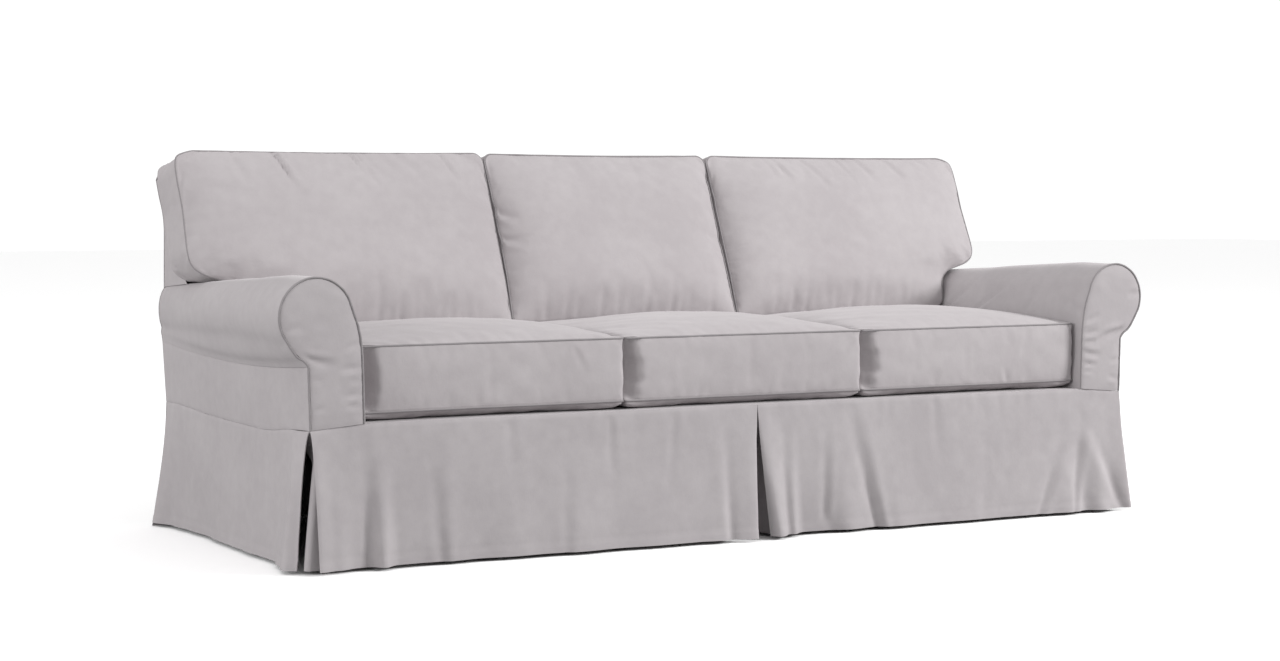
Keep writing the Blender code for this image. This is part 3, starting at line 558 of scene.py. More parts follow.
PANEL_CLOTH = ClothFinish("panel_cotton", "panel_cloth", (0.470, 0.442, 0.450),
                          (0.408, 0.380, 0.390))
CUSHION_CLOTH = ClothFinish("cushion_cotton", "cushion_cloth", (0.480, 0.451, 0.459),
                            (0.418, 0.388, 0.398))
# The piping is the same cotton as the cushions and panels; its darker tone is painted shade that
# stands in for the shadow gaps along each piped seam.
PIPING_CLOTH_PAINTED_SHADE = ClothFinish("piping_cotton_painted_shade", "piping", (0.320, 0.300, 0.306),
                           (0.265, 0.247, 0.254), yarn=0.0009, mottle_relief=0.1)


# ------------------------------------------------------------------ making pieces
def select_only(piece: bpy.types.Object) -> None:
    """Leaves one object selected and active.

    Args:
        piece: The object.
    """
    bpy.ops.object.select_all(action="DESELECT")
    piece.select_set(True)
    bpy.context.view_layer.objects.active = piece


def apply_modifier(piece: bpy.types.Object, modifier: bpy.types.Modifier) -> None:
    """Applies one modifier of a piece."""
    select_only(piece)
    bpy.ops.object.modifier_apply(modifier=modifier.name)


def edit_whole(piece: bpy.types.Object, change: Callable[[], object]) -> None:
    """Runs a change on the whole mesh of a piece, in edit mode.

    Args:
        piece: The piece to change.
        change: Calls the operator.
    """
    select_only(piece)
    bpy.ops.object.mode_set(mode="EDIT")
    bpy.ops.mesh.select_all(action="SELECT")
    change()
    bpy.ops.object.mode_set(mode="OBJECT")


def finish_piece(piece: bpy.types.Object, finish: ClothFinish, *nodes: str) -> None:
    """Shades, dresses and attaches a piece that stands for CAD nodes, and hides those nodes.

    Args:
        piece: The piece.
        finish: Its cloth.
        nodes: Names of the nodes that it replaces.
    """
    piece.data.shade_smooth()
    piece.data.set_sharp_from_angle(angle=SHARP_ANGLE)
    finish.dress(piece)
    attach(piece, "root")
    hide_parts(*nodes)
    LOG.info("%s: %d faces, for %s", piece.name, len(piece.data.polygons), ", ".join(nodes))


def vertex_places(mesh: bpy.types.Mesh) -> Array:
    """Reads the vertices of a mesh.

    Args:
        mesh: The mesh to read.

    Returns:
        One row of three coordinates for each vertex.
    """
    flat = np.zeros(len(mesh.vertices) * 3, np.float32)
    mesh.vertices.foreach_get("co", flat)
    return flat.reshape(-1, 3)


def place_vertices(mesh: bpy.types.Mesh, places: Array) -> None:
    """Moves the vertices of a mesh.

    Args:
        mesh: The mesh to change.
        places: One row of three coordinates for each vertex.
    """
    mesh.vertices.foreach_set("co", places.astype(np.float32).ravel())


def filled_in(levels: Array, step: float) -> Array:
    """Heights from the first level to the last, with more between them.

    Args:
        levels: Rising heights that stay.
        step: Distance between the added ones, about.

    Returns:
        All heights, rising.
    """
    between = [np.linspace(a, b, max(2, int((b - a) / step)) + 1)[:-1]
               for a, b in zip(levels[:-1], levels[1:])]
    return np.concatenate(between + [levels[-1:]])


def in_rows(x: Array, y: Array, z: Array) -> Array:
    """Grid of points whose rows each have one depth and one height.

    Args:
        x: Place across of each point, or of each column.
        y: Depth of each row.
        z: Height of each row.

    Returns:
        Rows by columns of points.
    """
    return np.stack(np.broadcast_arrays(x, y[:, None], z[:, None]), -1)


def grid_normals(points: Array) -> Array:
    """Unit normals of a grid of points, rows by columns.

    Args:
        points: Rows by columns of points.

    Returns:
        One normal for each point.
    """
    across = np.gradient(points, axis=1)
    along = np.gradient(points, axis=0)
    normal = np.cross(across, along)
    return normal / np.maximum(np.linalg.norm(normal, axis=2, keepdims=True), 1e-12)


@dataclass
class ClothPanel:
    """One flat-cut panel, as a grid of points on its outer face."""

    name: str
    node: str
    points: Array
    outward: tuple[float, float, float]
    held: Held = Held.STRETCHED
    chart: Chart = Chart.FRONT
    creases: Sequence[Crease] = ()
    uneven: float = 0.0006
    uneven_pitch: tuple[float, float] = (0.05, 0.05)
    seed: int = 1
    thickness: float = CLOTH
    turn_in: Sequence[str] = ()
    turn_depth: float = 0.0012
    turn_width: float = 0.004
    edge_reach: float = 0.012
    edge_calm: float = 0.85

    def oriented(self) -> Array:
        """The points, with columns running so that the normals face outwards.

        Returns:
            The grid, mirrored where it faced inwards.
        """
        normals = grid_normals(self.points)
        facing = float((normals @ np.array(self.outward)).mean())
        return self.points if facing > 0.0 else self.points[:, ::-1]

    def shaped(self, points: Array) -> Array:
        """Adds unevenness, creases and turned-in seam edges along the normals.

        Args:
            points: The panel's smooth grid.

        Returns:
            The same grid, moved.
        """
        normals = grid_normals(points)
        a, b = points[..., self.chart.value[0]], points[..., self.chart.value[1]]
        rise = self.uneven * cloth_noise(a, b, self.uneven_pitch, self.seed)
        rise = rise + crease_rise(a, b, self.creases)
        edges = {"low": points[:1], "high": points[-1:], "start": points[:, :1],
                 "end": points[:, -1:]}
        for edge, line in edges.items():
            gap = np.linalg.norm(points - line, axis=2)
            hold = np.exp(-(gap / self.edge_reach) ** 2)
            rise = rise * (1.0 - self.edge_calm * hold)
            if edge in self.turn_in:
                rise = rise - self.turn_depth * np.exp(-(gap / self.turn_width) ** 2)
        return points + normals * rise[..., None]

    def build(self) -> bpy.types.Object:
        """Makes the sheet from a grid and gives it its thickness.

        Returns:
            The finished piece, dressed.
        """
        points = self.shaped(self.oriented())
        rows, columns = points.shape[0] - 1, points.shape[1] - 1
        bpy.ops.object.select_all(action="DESELECT")
        bpy.ops.mesh.primitive_grid_add(x_subdivisions=columns, y_subdivisions=rows, size=1.0)
        piece = bpy.context.active_object
        piece.name = piece.data.name = self.name
        mesh = piece.data
        flat = vertex_places(mesh)
        column = np.rint((flat[:, 0] + 0.5) * columns).astype(int)
        row = np.rint((flat[:, 1] + 0.5) * rows).astype(int)
        place_vertices(mesh, points[row, column] - HOLD_POINT)
        run, rise = run_along(points[rows // 2]), run_along(points[:, columns // 2])
        add_cloth_map(mesh, np.stack([run[column], rise[row]], axis=1))
        wall = piece.modifiers.new("cloth", "SOLIDIFY")
        wall.thickness = self.thickness
        wall.offset = -1.0
        apply_modifier(piece, wall)
        finish_piece(piece, PANEL_CLOTH, self.node)
        return piece


def write_cloth_map(mesh: bpy.types.Mesh, at_corner: Array) -> None:
    """Gives a mesh the UV map that the weave follows, and no other.

    Args:
        mesh: The mesh to change.
        at_corner: Place on the cloth of each face corner, in metres.
    """
    while mesh.uv_layers:
        mesh.uv_layers.remove(mesh.uv_layers[0])
    layer = mesh.uv_layers.new(name=CLOTH_MAP)
    layer.data.foreach_set("uv", at_corner.astype(np.float32).ravel())


def add_cloth_map(mesh: bpy.types.Mesh, at_vertex: Array) -> None:
    """Adds the UV map that the weave follows, from places on the vertices.

    Args:
        mesh: The mesh to change.
        at_vertex: Place on the cloth of each vertex, in metres.
    """
    corner = np.zeros(len(mesh.loops), np.int32)
    mesh.loops.foreach_get("vertex_index", corner)
    write_cloth_map(mesh, at_vertex[corner])


@dataclass
class Piping:
    """Covered cord along a seam."""

    name: str
    node: str
    path: Array
    closed: bool
    radius: float = PIPING_RADIUS
    wander: float = 0.0003
    wander_step: float = 3.0
    end_calm: float = 6.0
    bias: float = 0.7
    seed: int = 3

    def build(self) -> bpy.types.Object:
        """Makes the cord as a curve with a round bevel and turns it into a mesh.

        Returns:
            The finished piece.
        """
        line = self.path
        count = len(line)
        wobbles = int(count / self.wander_step) + 2
        wobble = np.random.default_rng(self.seed).uniform(-1.0, 1.0, (wobbles, 3))
        spots = np.arange(count) / self.wander_step
        low = np.floor(spots).astype(int)
        share = (spots - low)[:, None]
        offset = wobble[low] * (1.0 - share) + wobble[low + 1] * share
        if self.closed:
            ends = np.minimum(np.arange(count), count - 1 - np.arange(count)) / self.end_calm
            offset = offset * np.clip(ends, 0.0, 1.0)[:, None]
        line = line + offset * self.wander - HOLD_POINT
        shape = bpy.data.curves.new(self.name, "CURVE")
        shape.dimensions = "3D"
        shape.bevel_depth = self.radius
        shape.bevel_resolution = 2
        shape.use_fill_caps = not self.closed
        spline = shape.splines.new("POLY")
        spline.points.add(count - 1)
        flat = np.ones((count, 4), np.float32)
        flat[:, :3] = line
        spline.points.foreach_set("co", flat.ravel())
        spline.use_cyclic_u = self.closed
        piece = bpy.data.objects.new(self.name, shape)
        bpy.context.scene.collection.objects.link(piece)
        select_only(piece)
        bpy.ops.object.convert(target="MESH")
        piece = bpy.context.active_object
        edit_whole(piece, lambda: bpy.ops.mesh.remove_doubles(threshold=WELD))
        co = vertex_places(piece.data)
        across = co[:, 0] + co[:, 1]
        add_cloth_map(piece.data, np.stack([across, co[:, 2]], axis=1) * self.bias)
        # The cord gets the darker piping cloth, whose tone is painted shade for the shadow gaps
        # beside it.
        finish_piece(piece, PIPING_CLOTH_PAINTED_SHADE, self.node)
        return piece


# ------------------------------------------------------------------ skirt
SKIRT_CREASES = {
    "left": pulled(
        (-0.914, 0.010, -0.930, 0.290, 0.017, 0.0105, -1),
        (-0.757, 0.030, -0.782, 0.280, 0.016, 0.0050, -1),
        (-0.470, 0.010, -0.466, 0.260, 0.015, 0.0034, -1),
        (-0.360, 0.290, -0.354, 0.130, 0.011, 0.0030, 1),
        (-0.600, 0.290, -0.590, 0.150, 0.014, 0.0022),
        (-0.200, 0.290, -0.215, 0.120, 0.012, 0.0022),
        (-0.060, 0.010, -0.064, 0.300, 0.014, 0.0060, 1)),
    "right": pulled(
        (0.096, 0.010, 0.082, 0.285, 0.013, 0.0065, -1),
        (0.200, 0.060, 0.194, 0.290, 0.012, 0.0042, -1),
        (0.345, 0.010, 0.258, 0.305, 0.015, 0.0080, -1),
        (0.500, 0.290, 0.510, 0.160, 0.014, 0.0020), (0.640, 0.020, 0.655, 0.220, 0.018, 0.0022),
        (0.812, 0.020, 0.892, 0.235, 0.015, 0.0062, -1),
        (0.912, 0.020, 0.940, 0.255, 0.012, 0.0058, -1),
        (1.064, 0.020, 0.948, 0.250, 0.016, 0.0060, 1))}


@dataclass
class Skirt:
    """The five hemmed panels round the base and the pieces behind their pleats."""

    rows: int = 46
    pitch: float = 0.006
    pucker: float = 0.0011
    hem_depth: float = 0.022
    small_fold: float = 0.0125
    edge_reach: float = 0.10
    edge_share: float = 0.85
    panels_meet: float = 0.012
    pleat_half: float = 0.075
    pleat_middle_back: float = 0.0048
    pleat_back: float = 0.012
    pleat_deep: float = 0.070
    pleat_drop: float = 0.001
    corner_reach: float = 0.085
    corner_out: float = 0.0065
    corner_swing: float = 0.062
    corner_in: float = 0.017
    corner_bow: float = 0.54
    bow_reach: float = 0.045
    rear_hem: float = 0.0085
    rear_pitch: float = 0.014
    corner_round: float = 0.012
    corner_legs: int = 13
    drawn_by: float = 0.12
    drawn_fade: float = 1.2
    pleat_rows: int = 45
    pleat_columns: int = 61
    early_small: float = 0.65
    early_wide: float = 0.45
    full_drop: float = 0.29
    pucker_pitch: tuple[float, float] = (0.016, 0.06)
    pucker_reach: float = 0.035
    ripple: float = 0.0012
    ripple_pitch: tuple[float, float] = (0.045, 0.5)
    grain: float = 0.0005
    grain_pitch: tuple[float, float] = (0.02, 0.03)
    stitch: float = 0.0006
    stitch_width: float = 0.0025
    hem_lift: float = 0.0004
    hem_soft: float = 0.003
    edge_turn: float = 0.0025
    edge_width: float = 0.004

    def falls(self) -> Array:
        """Shares of the drop, close together under the seam and over the hem."""
        return graded(0.0, 1.0, (0.0, 0.006, 0.013, 0.022, 0.035), 1.0 / self.rows)

    def stand_off(self, folds: Sequence[Fold], at: Array, fall: Array,
                  bow: float = 1.0) -> Array:
        """How far the cloth stands off the seam line.

        Args:
            folds: The panel's fold table.
            at: Place along the hem of each column.
            fall: Share of the drop of each row.
            bow: Power of the first edge's way out; under 1 it opens soon below the seam.

        Returns:
            Rows by columns of stand-off in metres.
        """
        spots = np.array([fold.at for fold in folds])
        outs = np.array([fold.out for fold in folds])
        starts = np.array([fold.start for fold in folds])
        share = np.maximum((fall[:, None] - starts) / (1.0 - starts), 0.0)
        early = np.where(np.abs(outs) < self.small_fold, self.early_small, self.early_wide)
        hang = (ease(share) * (1.0 - early) + share ** 1.1 * early) * outs
        low = np.clip(np.searchsorted(spots, at) - 1, 0, len(spots) - 2)
        share = smooth(spots[low], spots[low + 1], at)
        out = hang[:, low] * (1.0 - share) + hang[:, low + 1] * share
        if bow < 1.0:
            near = np.exp(-((at - at[0]) / self.bow_reach) ** 2)
            out = out + near * (out[-1] * fall[:, None] ** bow - out)
        return out

    def flare(self, at: Array, fall: Array, ends: Sequence[float], bow: float = 1.0) -> Array:
        """Share of the way that each point has moved out along its hem.

        Args:
            at: Place along the hem of each column.
            fall: Share of the drop of each row.
            ends: Places of the open edges, which hang straight from the seam.
            bow: Power of the first edge's way out; under 1 it opens soon below the seam.

        Returns:
            Rows by columns, 0 at the seam and 1 at the hem.
        """
        near = np.max([np.exp(-((at - end) / self.edge_reach) ** 2) for end in ends], axis=0)
        down = np.asarray(fall)[:, None]
        share = ease(down) * (1.0 - self.edge_share * near) + down * self.edge_share * near
        first = np.exp(-((at - at[0]) / self.bow_reach) ** 2) if bow < 1.0 else 0.0
        return share + first * (down ** bow - share)

    def detail(self, at: Array, fall: Array, seed: int) -> Array:
        """Puckers under the seam, soft hanging ripples and the stitched hem.

        Args:
            at: Place along the hem of each column.
            fall: Share of the drop of each row.
            seed: Seed of the unevenness.

        Returns:
            Rows by columns of rise in metres.
        """
        a, b = np.meshgrid(at, fall)
        down, up = b * self.full_drop, (1.0 - b) * self.full_drop
        rise = (self.pucker * cloth_noise(a, down, self.pucker_pitch, seed)
                * np.exp(-(down / self.pucker_reach)))
        rise += (self.ripple * cloth_noise(a, down, self.ripple_pitch, seed + 1)
                 * smooth(0.0, 0.5, b))
        rise += self.grain * cloth_noise(a, down, self.grain_pitch, seed + 2)
        rise -= self.stitch * np.exp(-((up - self.hem_depth) / self.stitch_width) ** 2)
        rise += self.hem_lift * smooth(self.hem_depth, self.hem_depth - self.hem_soft, up)
        return rise

    def front(self, folds: Sequence[Fold], word: str, seam_from: float, seam_to: float,
              bow: float, seed: int) -> ClothPanel:
        """One of the two front panels.

        Args:
            folds: Its fold table.
            word: Its side in names.
            seam_from: Where its seam starts.
            seam_to: Where its seam ends.
            bow: Power of its first edge's way out.
            seed: Seed of its unevenness.

        Returns:
            The panel.
        """
        fall = self.falls()
        at = graded(folds[0].at, folds[-1].at, SEAM_EDGE, self.pitch)
        seam = seam_from + (seam_to - seam_from) * (at - at[0]) / (at[-1] - at[0])
        x = seam + (at - seam) * self.flare(at, fall, (at[0], at[-1]), bow)
        top = front_seam(seam)
        z = top + (HEM - top) * fall[:, None]
        y = FRONT - self.stand_off(folds, at, fall, bow) - self.detail(at, fall, seed)
        hold = smooth(0.0, 0.06, fall)[:, None]
        y = y - crease_rise(x, z, SKIRT_CREASES[word]) * hold
        sharp = min(self.edge_width, 0.5 * self.pitch)
        near = np.minimum(at - at[0], at[-1] - at)
        turn = self.edge_turn * np.exp(-(near / sharp) ** 2)
        y = y + turn * smooth(0.05, 0.3, fall)[:, None]
        return ClothPanel("front_skirt_" + word, "skirt_front_" + word, np.stack([x, y, z], -1),
                          (0, -1, 0), Held.HUNG, uneven=0.0004, seed=seed, turn_in=("low",))

    def side(self, folds: Sequence[Fold], side: Side, bow: float, seed: int) -> ClothPanel:
        """The panel under one arm.

        Args:
            folds: Its fold table.
            side: The arm's side.
            bow: Power of its first edge's way out.
            seed: Seed of its unevenness.

        Returns:
            The panel.
        """
        fall = self.falls()
        at = graded(folds[0].at, folds[-1].at, SEAM_EDGE, self.pitch)
        seam = np.interp(at, [fold.at for fold in folds], SIDE_SEAM[:, 0])
        y = seam + (at - seam) * self.flare(at, fall, (at[0],), bow)
        top = side_seam(seam)
        z = top + (HEM - top) * fall[:, None]
        out = self.stand_off(folds, at, fall, bow) + self.detail(at, fall, seed)
        x = side.value * (HALF_WIDTH + out)
        return ClothPanel("side_skirt_" + side.word, "skirt_side_" + side.word,
                          np.stack([x, y, z], -1), (side.value, 0, 0), Held.HUNG, Chart.SIDE,
                          uneven=0.0004, seed=seed, turn_in=("low",))

    def back(self) -> ClothPanel:
        """The panel across the rear.

        Returns:
            The panel.
        """
        fall = self.falls()
        at = graded(BACK_FOLDS[0].at, BACK_FOLDS[-1].at, (0.0, 0.003, 0.008),
                    self.rear_pitch)
        seam = HALF_WIDTH * at / BACK_FOLDS[-1].at
        x = seam + (at - seam) * ease(fall)[:, None]
        top = np.full_like(at, REAR_PROFILE[0, 1])
        z = top + (self.rear_hem - top) * fall[:, None]
        y = REAR + self.stand_off(BACK_FOLDS, at, fall) + self.detail(at, fall, 31)
        return ClothPanel("rear_skirt", "skirt_back", np.stack([x, y, z], -1), (0, 1, 0),
                          Held.HUNG, uneven=0.0004, seed=33, turn_in=("low",))

    def middle_pleat(self) -> ClothPanel:
        """Piece behind the opening between the front panels, its middle folded in.

        Returns:
            The panel.
        """
        across = self.pleat_half * np.linspace(-1, 1, self.pleat_columns)
        x, fall = np.meshgrid(self.panels_meet + across, np.linspace(0.0, 1.0, self.pleat_rows))
        top = DECK_TOP - CLOTH - GAP - self.pleat_drop
        z = top + (HEM - top) * fall
        share = np.abs(x - self.panels_meet) / self.pleat_half
        y = INNER_FRONT + self.pleat_middle_back * fall
        y = y + self.pleat_deep * smooth(0.0, 0.5, fall) * smooth(0.80, 0.52, share)
        return ClothPanel("middle_pleat", "pleat_middle", np.stack([x, y, z], -1), (0, -1, 0),
                          Held.HUNG, uneven=0.0002, seed=41)

    def corner_pleat(self, side: Side) -> ClothPanel:
        """Piece folded round inside a front corner; its side leg turns in lower down.

        Args:
            side: The corner's side.

        Returns:
            The panel.
        """
        turn_x = HALF_WIDTH - CLOTH - GAP - self.corner_round
        turn_y = INNER_FRONT + self.corner_round
        straight = np.linspace(0.0, 1.0, self.corner_legs + 1)[:-1]
        first = np.stack([HALF_WIDTH - self.corner_reach
                          + (turn_x - HALF_WIDTH + self.corner_reach) * straight,
                          np.full_like(straight, INNER_FRONT)], -1)
        angle = np.radians(np.linspace(-90.0, 0.0, 9))
        turn = np.stack([turn_x + self.corner_round * np.cos(angle),
                         turn_y + self.corner_round * np.sin(angle)], -1)
        last = np.stack([np.full_like(straight, HALF_WIDTH - CLOTH - GAP),
                         turn_y + (INNER_FRONT + self.corner_reach - turn_y)
                         * (straight + 1.0 / self.corner_legs)], -1)
        route = np.concatenate([first, turn, last])
        fall = np.linspace(0.0, 1.0, self.pleat_rows)[:, None]
        top = np.minimum(side_seam(route[:, 1]), front_seam(route[:, 0])) - CLOTH - GAP
        shift = self.pleat_back * fall
        along = np.clip((route[:, 1] - turn_y) / (INNER_FRONT + self.corner_reach - turn_y),
                        0.0, 1.0)
        swing = self.corner_swing * smooth(0.0, 0.5, fall) * along
        drawn = (self.corner_in * smooth(0.0, self.drawn_by, fall)
                 * (1.0 - fall) ** self.drawn_fade)
        points = np.stack([side.value * (route[:, 0] + self.corner_out * fall - swing - drawn),
                           route[:, 1] + shift, top + (HEM - top) * fall], -1)
        return ClothPanel("corner_pleat_" + side.word, "pleat_" + side.word, points,
                          (side.value * 0.7, -0.7, 0), Held.HUNG, uneven=0.0002, seed=43)

    def panels(self) -> list[ClothPanel]:
        """All panels of the skirt."""
        return [self.front(FRONT_LEFT, "left", -HALF_WIDTH, self.panels_meet - GAP,
                           self.corner_bow, 5),
                self.front(FRONT_RIGHT, "right", self.panels_meet + GAP, HALF_WIDTH, 1.0, 9),
                self.side(SIDE_LEFT, Side.LEFT, self.corner_bow, 13),
                self.side(SIDE_RIGHT, Side.RIGHT, 1.0, 17),
                self.back(), self.middle_pleat(),
                self.corner_pleat(Side.LEFT), self.corner_pleat(Side.RIGHT)]


# ------------------------------------------------------------------ arms
ARM_CREASES = {
    Side.LEFT: pulled(
        (0.30, 0.548, 0.18, 0.520, 0.010, 0.0015),
        (-0.405, 0.475, -0.330, 0.455, 0.009, 0.0012)),
    Side.RIGHT: pulled(
        (-0.006, 0.488, -0.125, 0.562, 0.008, 0.0062, 1),
        (0.120, 0.488, 0.030, 0.552, 0.008, 0.0062, 1),
        (-0.200, 0.490, -0.260, 0.560, 0.012, 0.0020),
        (-0.400, 0.500, -0.350, 0.520, 0.010, 0.0024))}
OUTER_ARM_CREASES = pulled(
    (0.20, 0.415, 0.12, 0.380, 0.010, 0.0012), (-0.12, 0.408, -0.16, 0.350, 0.012, 0.0010))
FACING_CREASES = {
    Side.LEFT: pulled(
        (-0.934, 0.425, -0.990, 0.420, 0.0060, 0.0041, 1),
        (-0.934, 0.400, -0.965, 0.396, 0.0045, 0.0030),
        (-0.934, 0.372, -0.985, 0.366, 0.0060, 0.0035, 1),
        (-0.934, 0.345, -0.975, 0.348, 0.0055, 0.0032),
        (-1.045, 0.442, -0.985, 0.428, 0.0085, 0.0046, 1),
        (-1.050, 0.405, -1.020, 0.398, 0.0060, 0.0027),
        (-1.048, 0.340, -1.015, 0.346, 0.0060, 0.0024),
        (-0.937, 0.475, -0.980, 0.462, 0.0065, 0.0032, 1),
        (-1.100, 0.500, -1.060, 0.515, 0.0080, 0.0024)),
    Side.RIGHT: pulled(
        (0.936, 0.398, 0.992, 0.388, 0.0060, 0.0054, 1),
        (0.936, 0.420, 0.975, 0.424, 0.0050, 0.0042),
        (0.936, 0.440, 1.000, 0.452, 0.0065, 0.0051, -1),
        (0.936, 0.372, 0.980, 0.366, 0.0055, 0.0048, 1),
        (0.936, 0.350, 0.970, 0.352, 0.0050, 0.0035),
        (1.042, 0.446, 0.975, 0.425, 0.0090, 0.0064, -1),
        (0.936, 0.468, 0.985, 0.488, 0.0065, 0.0045, -1),
        (1.048, 0.380, 1.015, 0.372, 0.0060, 0.0038),
        (1.048, 0.330, 1.008, 0.338, 0.0065, 0.0042, 1),
        (1.108, 0.540, 1.070, 0.530, 0.0080, 0.0032))}


@dataclass
class Arm:
    """Over-arm panel, outer side, facing and its piping."""

    side: Side
    along: float = 0.0074
    around: int = 96
    facing_inset: float = 0.0039
    piping_inset: float = 0.0012
    crown: float = 0.0042
    crown_run: float = 0.013
    end_power: int = 12
    fill: float = 0.0018
    outline_points: int = 241
    facing_rows: int = 76
    facing_spread: float = 1.15
    peak_width: float = 0.0006

    def profile(self, y: float, count: int) -> Array:
        """The profile at y as a smooth line of evenly spread points.

        Args:
            y: The depth.
            count: How many points, about.

        Returns:
            Rows of place across and height.
        """
        points = arm_profile(y)
        places = arc_places(points)
        spots = graded(0.0, 1.0, (0.0, 0.004, 0.010), 1.0 / count)
        return curve(places, points, spots)

    def over(self) -> ClothPanel:
        """The panel from the deck over the roll to the seam under it.

        Returns:
            The panel.
        """
        ys = graded(INNER_FRONT, float(UNDER_ROLL_SEAM[-1, 0]), SEAM_EDGE, self.along)
        rings = np.array([self.profile(float(y), self.around) for y in ys])
        x, z = rings[..., 0], rings[..., 1]
        depth = np.repeat(ys[:, None], x.shape[1], axis=1)
        reach = (ys - ys[0]) / (ys[-1] - ys[0])
        depth = depth + (before_rear(z) - ys[-1]) * (reach ** self.end_power)[:, None]
        points = np.stack([self.side.value * x, depth, z], -1)
        creases = ARM_CREASES[self.side]
        return ClothPanel("over_arm_" + self.side.word, "arm_" + self.side.word, points,
                          (0, 0, 1), chart=Chart.SIDE, creases=creases, uneven=0.0009,
                          uneven_pitch=(0.09, 0.05), seed=51 + self.side.value,
                          turn_in=("low", "high", "end"), turn_depth=0.0010, turn_width=0.003)

    def outer(self) -> ClothPanel:
        """The flat outer side.

        Returns:
            The panel.
        """
        ys = graded(INNER_FRONT, INNER_REAR, SEAM_EDGE, self.along)
        t = graded(0.0, 1.0, (0.0, 0.02, 0.05), 0.05)
        low = side_seam(ys) + GAP
        high = under_roll_seam(np.interp(ys, [ys[0], ys[-1]], [ys[0], UNDER_ROLL_SEAM[-1, 0]]))
        z = low + (high - GAP / 2.0 - low) * t[:, None]
        reach = ((ys - ys[0]) / (ys[-1] - ys[0])) ** self.end_power
        y = ys + (before_rear(z) - ys[-1]) * reach
        lengthwise = np.sin(math.pi * (ys - ys[0]) / (ys[-1] - ys[0])) ** 0.5
        fill = self.fill * np.sin(math.pi * t)[:, None] * lengthwise
        x = self.side.value * (HALF_WIDTH + UNDER_ROLL_OUT * t[:, None] + fill)
        return ClothPanel("outer_arm_" + self.side.word, "arm_outer_" + self.side.word,
                          np.stack([x, y, z], -1), (self.side.value, 0, 0), chart=Chart.SIDE,
                          creases=OUTER_ARM_CREASES, uneven=0.0007, uneven_pitch=(0.07, 0.04),
                          seed=57, turn_in=("low", "high"), turn_depth=0.0012, turn_width=0.003)

    def outline(self, inset: float) -> Array:
        """The facing's outline from its inner foot over the roll to its outer foot.

        Args:
            inset: How far the line lies inside the edge.

        Returns:
            Rows of place across and height.
        """
        line = arm_profile(FRONT)
        line[0] = (ARM_INNER, float(front_seam(np.array(ARM_INNER))) + GAP)
        neck, heel = line[-1], np.array([HALF_WIDTH,
                                         float(front_seam(np.array(HALF_WIDTH))) + GAP])
        leg = np.array([0.06, 0.15, 0.35, 0.6, 0.8, 1.0])[:, None]
        line = np.vstack([line, neck + (heel - neck) * leg])
        dense = curve(arc_places(line), line, np.linspace(0.0, 1.0, self.outline_points))
        run = np.gradient(dense, axis=0)
        run /= np.linalg.norm(run, axis=1, keepdims=True)
        return dense + np.stack([run[:, 1], -run[:, 0]], -1) * inset

    def facing(self) -> ClothPanel:
        """The crowned front of the arm.

        Returns:
            The panel.
        """
        line = self.outline(self.facing_inset)
        peak = int(np.argmax(line[:, 1]))
        inner, outer = line[:peak + 1], line[peak:][::-1]
        foot, top = front_seam(line[[0, -1], 0]) + GAP, float(line[peak, 1])
        quarter = np.linspace(0.0, 1.0, self.facing_rows) * math.pi / 2.0
        share = np.sin(quarter) ** self.facing_spread
        share[-1] = 1.0
        low_in, low_out = float(foot[0]), float(foot[1])
        z_in = low_in + (top - low_in) * share
        z_out = low_out + (top - low_out) * share
        x_in = np.interp(z_in, inner[:, 1], inner[:, 0])
        x_out = np.interp(z_out, outer[:, 1], outer[:, 0])
        u = graded(0.0, 1.0, (0.0, 0.02, 0.045, 0.075), 0.035)
        x = x_in[:, None] * (1 - u) + x_out[:, None] * u
        z = z_in[:, None] * (1 - u) + z_out[:, None] * u
        x[-1], z[-1] = line[peak, 0] + (u - 0.5) * self.peak_width, top
        flat = np.stack([x, z], -1).reshape(-1, 2)
        gap = np.min(np.linalg.norm(flat[:, None] - line[None], axis=2), axis=1).reshape(x.shape)
        gap = np.minimum(gap, z - (z_in[0] + z_out[0]) / 2.0 + 0.004)
        rise = self.crown * (1.0 - np.exp(-np.maximum(gap, 0.0) / self.crown_run))
        points = np.stack([self.side.value * x, FRONT - rise, z], -1)
        return ClothPanel("arm_facing_" + self.side.word, "arm_front_" + self.side.word, points,
                          (0, -1, 0), creases=FACING_CREASES[self.side], uneven=0.0005,
                          uneven_pitch=(0.03, 0.018), seed=61 + self.side.value)

    def piping(self) -> Piping:
        """The piping round the facing.

        Returns:
            The cord.
        """
        line = self.outline(self.piping_inset)
        depth = np.full(len(line), INNER_FRONT - PIPING_RADIUS - GAP)
        path = np.stack([self.side.value * line[:, 0], depth, line[:, 1]], -1)
        return Piping("arm_piping_" + self.side.word, "arm_welt_" + self.side.word, path, False,
                      seed=71)


# ------------------------------------------------------------------ body panels
REAR_CREASES = pulled(
    (-0.72, 0.78, -0.66, 0.60, 0.016, 0.0022, 1), (-0.18, 0.78, -0.21, 0.58, 0.018, 0.0018, -1),
    (0.37, 0.78, 0.34, 0.62, 0.014, 0.0020, 1), (0.83, 0.78, 0.78, 0.56, 0.018, 0.0020, -1),
    (-0.95, 0.33, -0.86, 0.46, 0.016, 0.0018, 1), (0.93, 0.33, 0.83, 0.47, 0.016, 0.0018, -1))


